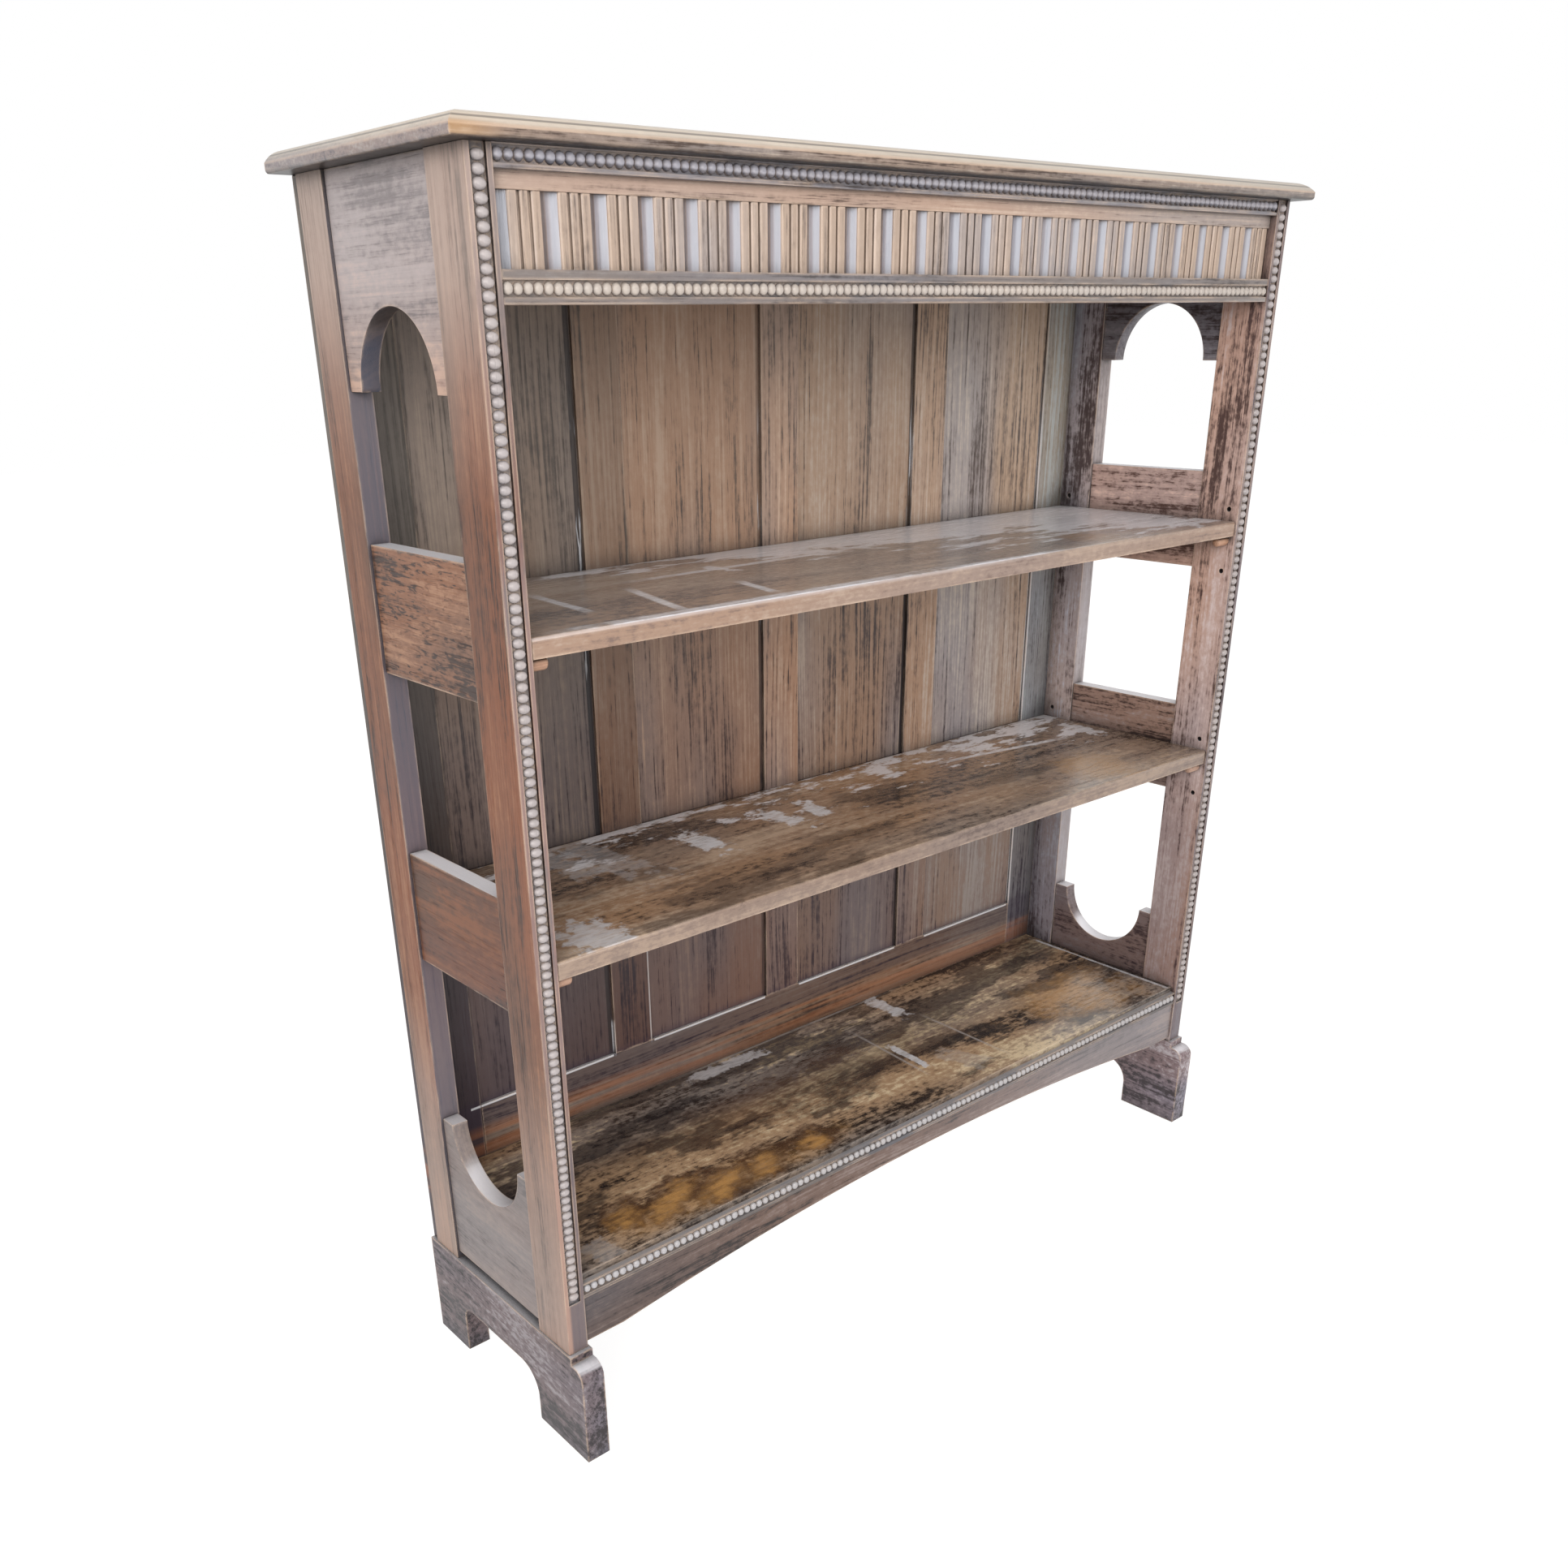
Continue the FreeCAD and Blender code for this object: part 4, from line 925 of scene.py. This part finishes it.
def flute_outline(left, ground, rear):
    """One hollow and its reeds in plan, with the material number of each side."""
    deep = FLUTE_DEPTH * rng.uniform(0.9, 1.0)
    outline, looks = [], []
    for step in range(HOLLOW_STEPS + 1):
        share = step / HOLLOW_STEPS
        outline.append((left + share * FLUTE_WIDTH, ground + deep * math.sin(math.pi * share)))
        looks.append(IN_HOLLOW if step else ON_REED)
    for reed in range(REEDS):
        inner_left, inner_right = reed > 0, reed < REEDS - 1
        first = left + FLUTE_WIDTH + reed * REED_WIDTH + (REED_GAP / 2 if inner_left else REED_EDGE)
        last = left + FLUTE_WIDTH + (reed + 1) * REED_WIDTH - (REED_GAP / 2 if inner_right else REED_EDGE)
        first += rng.uniform(-REED_WANDER, REED_WANDER)
        crest = ground - REED_RISE * rng.uniform(0.8, 1.0)
        outline += [(first, ground + GROOVE_DEPTH if inner_left else ground), (first, crest + REED_ROUND),
                    (first + REED_ROUND, crest), (last - REED_ROUND, crest), (last, crest + REED_ROUND),
                    (last, ground + GROOVE_DEPTH if inner_right else ground)]
    outline += [(left + FLUTE_PERIOD, ground), (left + FLUTE_PERIOD, rear), (left, rear)]
    looks += [ON_REED] * (len(outline) - len(looks))
    return outline, looks


def fluted_panel():
    """Hollow flutes with three flat reeds between, each period a bar of its own."""
    low, high = limits("fluted_panel")
    ground = low.y + REED_RISE
    mesh = bmesh.new()
    count = math.floor((high.x - low.x) / FLUTE_PERIOD + PERIOD_SLACK)
    for period in range(count):
        outline, looks = flute_outline(low.x + period * FLUTE_PERIOD, ground, high.y)
        add_bar(mesh, outline, "z", low.z, high.z, looks)
    rest = low.x + count * FLUTE_PERIOD
    add_bar(mesh, [(rest, ground), (high.x, ground), (high.x, high.y), (rest, high.y)], "z", low.z, high.z,
            [ON_REED] * 4)
    # Painted sheen, highlight and shade in the hollows
    hollow = oak("hollow_oak", "xyz", 51, HOLLOW, figure=0.3, reach=0.01, rough=0.3, grime_and_shade=0.5,
                 marks=[hollow_tint])
    reed = oak("reed_oak", "xyz", 54, REED, figure=0.4, fibre=0.4, reach=0.006, grime_and_shade=0.55, rough=0.35,
               wear=0.8)
    make_piece("fluted_panel_carved", mesh, [hollow, reed], "case", "carved_wood", "fluted_panel")


# Turned pegs

PEG_SIDES = 28
PEG_SHANK = 0.003
PEG_NECK = 0.0006
PEG_DOME = 0.6
PEG_DOME_TURNS = (0.4, 0.8, 1.2)
PEG_SEED = 60


def turned_peg(name):
    """A peg with a thin shank in the stile and a head with a domed end."""
    low, high = limits(name)
    inward = 1 if "_left_" in name else -1
    centre = (low + high) / 2
    radius = (high.z - low.z) / 2
    shoulder = limits(name.split("_")[1] + "_front_stile")[1 if inward > 0 else 0].x
    foot = low.x if inward > 0 else high.x
    tip = high.x if inward > 0 else low.x
    length = abs(tip - shoulder)
    start = abs(shoulder - foot)
    dome = radius * PEG_DOME
    profile = [(PEG_SHANK, 0), (PEG_SHANK, start), (radius - PEG_NECK, start), (radius, start + PEG_NECK),
               (radius, start + length - dome)]
    for turn in PEG_DOME_TURNS:
        profile.append((radius * math.cos(turn), start + length - dome + dome * math.sin(turn)))
    profile.append((0, start + length))
    mesh = bmesh.new()
    lie_down = Matrix.Rotation(math.radians(90 * inward), 4, "Y")
    add_turning(mesh, profile, Matrix.Translation((foot, centre.y, centre.z)) @ lie_down, PEG_SIDES)
    seed = PEG_SEED + len(bpy.data.materials)
    look = oak(name + "_oak", "zyx", seed, PEG, figure=0.3, wear=0.3, reach=0.01)
    make_piece(name + "_turned", mesh, [look], name, "peg_wood", name)


# Screws that hold the back

SCREW_RADIUS = 0.0038
SCREW_RISE = 0.0007
SCREW_STEPS = 8
SLOT_WIDTH = 0.0009
SCREW_SPACING = 0.18


def brass():
    """Tarnished brass."""
    tree = Tree("screw_brass")
    tarnish = tree.noise(tree.scaled(tree.place, (900, 900, 900)), 3)
    colour = tree.mix(tree.span(tarnish, 0.3, 0.7), OLD_BRASS, BRASS)
    tree.feed(tree.shader.inputs["Base Color"], colour)
    tree.feed(tree.shader.inputs["Roughness"], tree.span(tarnish, 0.2, 0.8, 0.35, 0.6))
    tree.shader.inputs["Metallic"].default_value = 1.0
    return tree.material


def add_screw(mesh, centre, turn):
    """A slotted head, as two half discs on either side of the slot."""
    slot = math.asin(SLOT_WIDTH / 2 / SCREW_RADIUS)
    for half in (0, math.pi):
        outline = []
        for step in range(SCREW_STEPS + 1):
            angle = slot + step * (math.pi - 2 * slot) / SCREW_STEPS + (half + turn)
            outline.append((centre.x + SCREW_RADIUS * math.cos(angle),
                            centre.z + SCREW_RADIUS * math.sin(angle)))
        add_bar(mesh, outline, "y", centre.y - SCREW_RISE, centre.y + SCREW_RISE)


def back_screws():
    """A row of screws through each stile of the back into the rear stile before it."""
    mesh = bmesh.new()
    for side in ("left", "right"):
        stile_low, stile_high = limits(f"back_{side}_stile")
        post_low, post_high = limits(f"{side}_rear_stile")
        x = (post_low.x + post_high.x) / 2
        count = math.floor((stile_high.z - stile_low.z) / SCREW_SPACING)
        start = (stile_low.z + stile_high.z - (count - 1) * SCREW_SPACING) / 2
        for number in range(count):
            centre = Vector((x, stile_high.y, start + number * SCREW_SPACING))
            add_screw(mesh, centre, rng.uniform(0, math.pi))
    make_piece("back_screws", mesh, [brass()], "case", "back_wood")


# Room

SKY_LIGHT = 0.585
FLOOR_SIZE = 14
FLOOR_DROP = 0.001
FLOOR_TONE = (0.86, 0.86, 0.86, 1)
FLOOR_GLOW = 1.4
GLOW_SHARE = 0.62
LAMP_AIM = (0, 0, 0.7)


def seen_directly(tree):
    """One for the rays that show the surroundings as they are: straight, mirrored or through glass."""
    path = tree.nodes.new("ShaderNodeLightPath")
    seen = path.outputs["Is Camera Ray"]
    for kind in ("Is Glossy Ray", "Is Transmission Ray"):
        either = tree.nodes.new("ShaderNodeMath")
        either.operation = "MAXIMUM"
        tree.links.new(seen, either.inputs[0])
        tree.links.new(path.outputs[kind], either.inputs[1])
        seen = either.outputs[0]
    return seen


def make_world():
    """A soft white light from all round, which shows as plain white."""
    world = bpy.data.worlds.new("world")
    bpy.context.scene.world = world
    world.use_nodes = True
    tree = world.node_tree
    back = tree.nodes["Background"]
    back.inputs["Color"].default_value = (1, 1, 1, 1)
    level = tree.nodes.new("ShaderNodeMapRange")
    level.inputs["To Min"].default_value = SKY_LIGHT
    level.inputs["To Max"].default_value = 1.0
    tree.links.new(seen_directly(tree), level.inputs["Value"])
    tree.links.new(level.outputs[0], back.inputs["Strength"])


def make_floor():
    """A pale floor that shows white to the camera and keeps a soft shadow under the feet."""
    mesh = bpy.data.meshes.new("floor")
    corners = [(x * FLOOR_SIZE, y * FLOOR_SIZE, 0) for x, y in ((-1, -1), (1, -1), (1, 1), (-1, 1))]
    mesh.from_pydata(corners, [], [(0, 1, 2, 3)])
    floor = bpy.data.objects.new("floor", mesh)
    floor.location.z = -FLOOR_DROP
    bpy.context.scene.collection.objects.link(floor)
    material = bpy.data.materials.new("floor_white")
    material.use_nodes = True
    tree = material.node_tree
    tree.nodes.clear()
    matt = tree.nodes.new("ShaderNodeBsdfDiffuse")
    matt.inputs["Color"].default_value = FLOOR_TONE
    glow = tree.nodes.new("ShaderNodeEmission")
    glow.inputs["Strength"].default_value = FLOOR_GLOW
    share = tree.nodes.new("ShaderNodeMath")
    share.operation = "MULTIPLY"
    share.inputs[1].default_value = GLOW_SHARE
    tree.links.new(seen_directly(tree), share.inputs[0])
    blend = tree.nodes.new("ShaderNodeMixShader")
    tree.links.new(share.outputs[0], blend.inputs[0])
    tree.links.new(matt.outputs[0], blend.inputs[1])
    tree.links.new(glow.outputs[0], blend.inputs[2])
    out = tree.nodes.new("ShaderNodeOutputMaterial")
    tree.links.new(blend.outputs[0], out.inputs["Surface"])
    mesh.materials.append(material)


def make_lamp(name, place, size, power):
    """A round soft lamp that looks at the middle of the bookcase."""
    data = bpy.data.lights.new(name, "AREA")
    data.shape = "DISK"
    data.size = size
    data.energy = power
    lamp = bpy.data.objects.new(name, data)
    bpy.context.scene.collection.objects.link(lamp)
    lamp.location = place
    lamp.rotation_mode = "QUATERNION"
    lamp.rotation_quaternion = (Vector(LAMP_AIM) - Vector(place)).to_track_quat("-Z", "Y")


dress_left()
dress_right()
dress_feet()
dress_boards()
dress_back()
# Crest colours are partly painted highlights, with painted shade behind and under the beads
cross_strip("frieze_upper_beads", margin=0.001, level=0.84, top=(192, 190, 200), dirt_and_shade=0.3, under=0.8)
cross_strip("frieze_lower_beads", margin=0.007, level=0.77, top=(214, 202, 190), dirt_and_shade=0.2, under=0.0)
cross_strip("apron_beads", margin=0.002, level=0.63, top=(206, 204, 206), dirt_and_shade=0.15, under=0.2)
for strip_side in ("left", "right"):
    stile_strip(f"{strip_side}_stile_beads")
arched_apron()
fluted_panel()
for peg_name in sorted(name for name in nodes if name.endswith("_peg")):
    turned_peg(peg_name)
back_screws()

make_camera()
make_world()
make_floor()
make_lamp("key", (-3.2, -2.5, 2.2), size=2.2, power=91)
make_lamp("fill", (-0.6, -3.6, 1.7), size=2.4, power=46)

bpy.context.scene.view_settings.view_transform = "Standard"
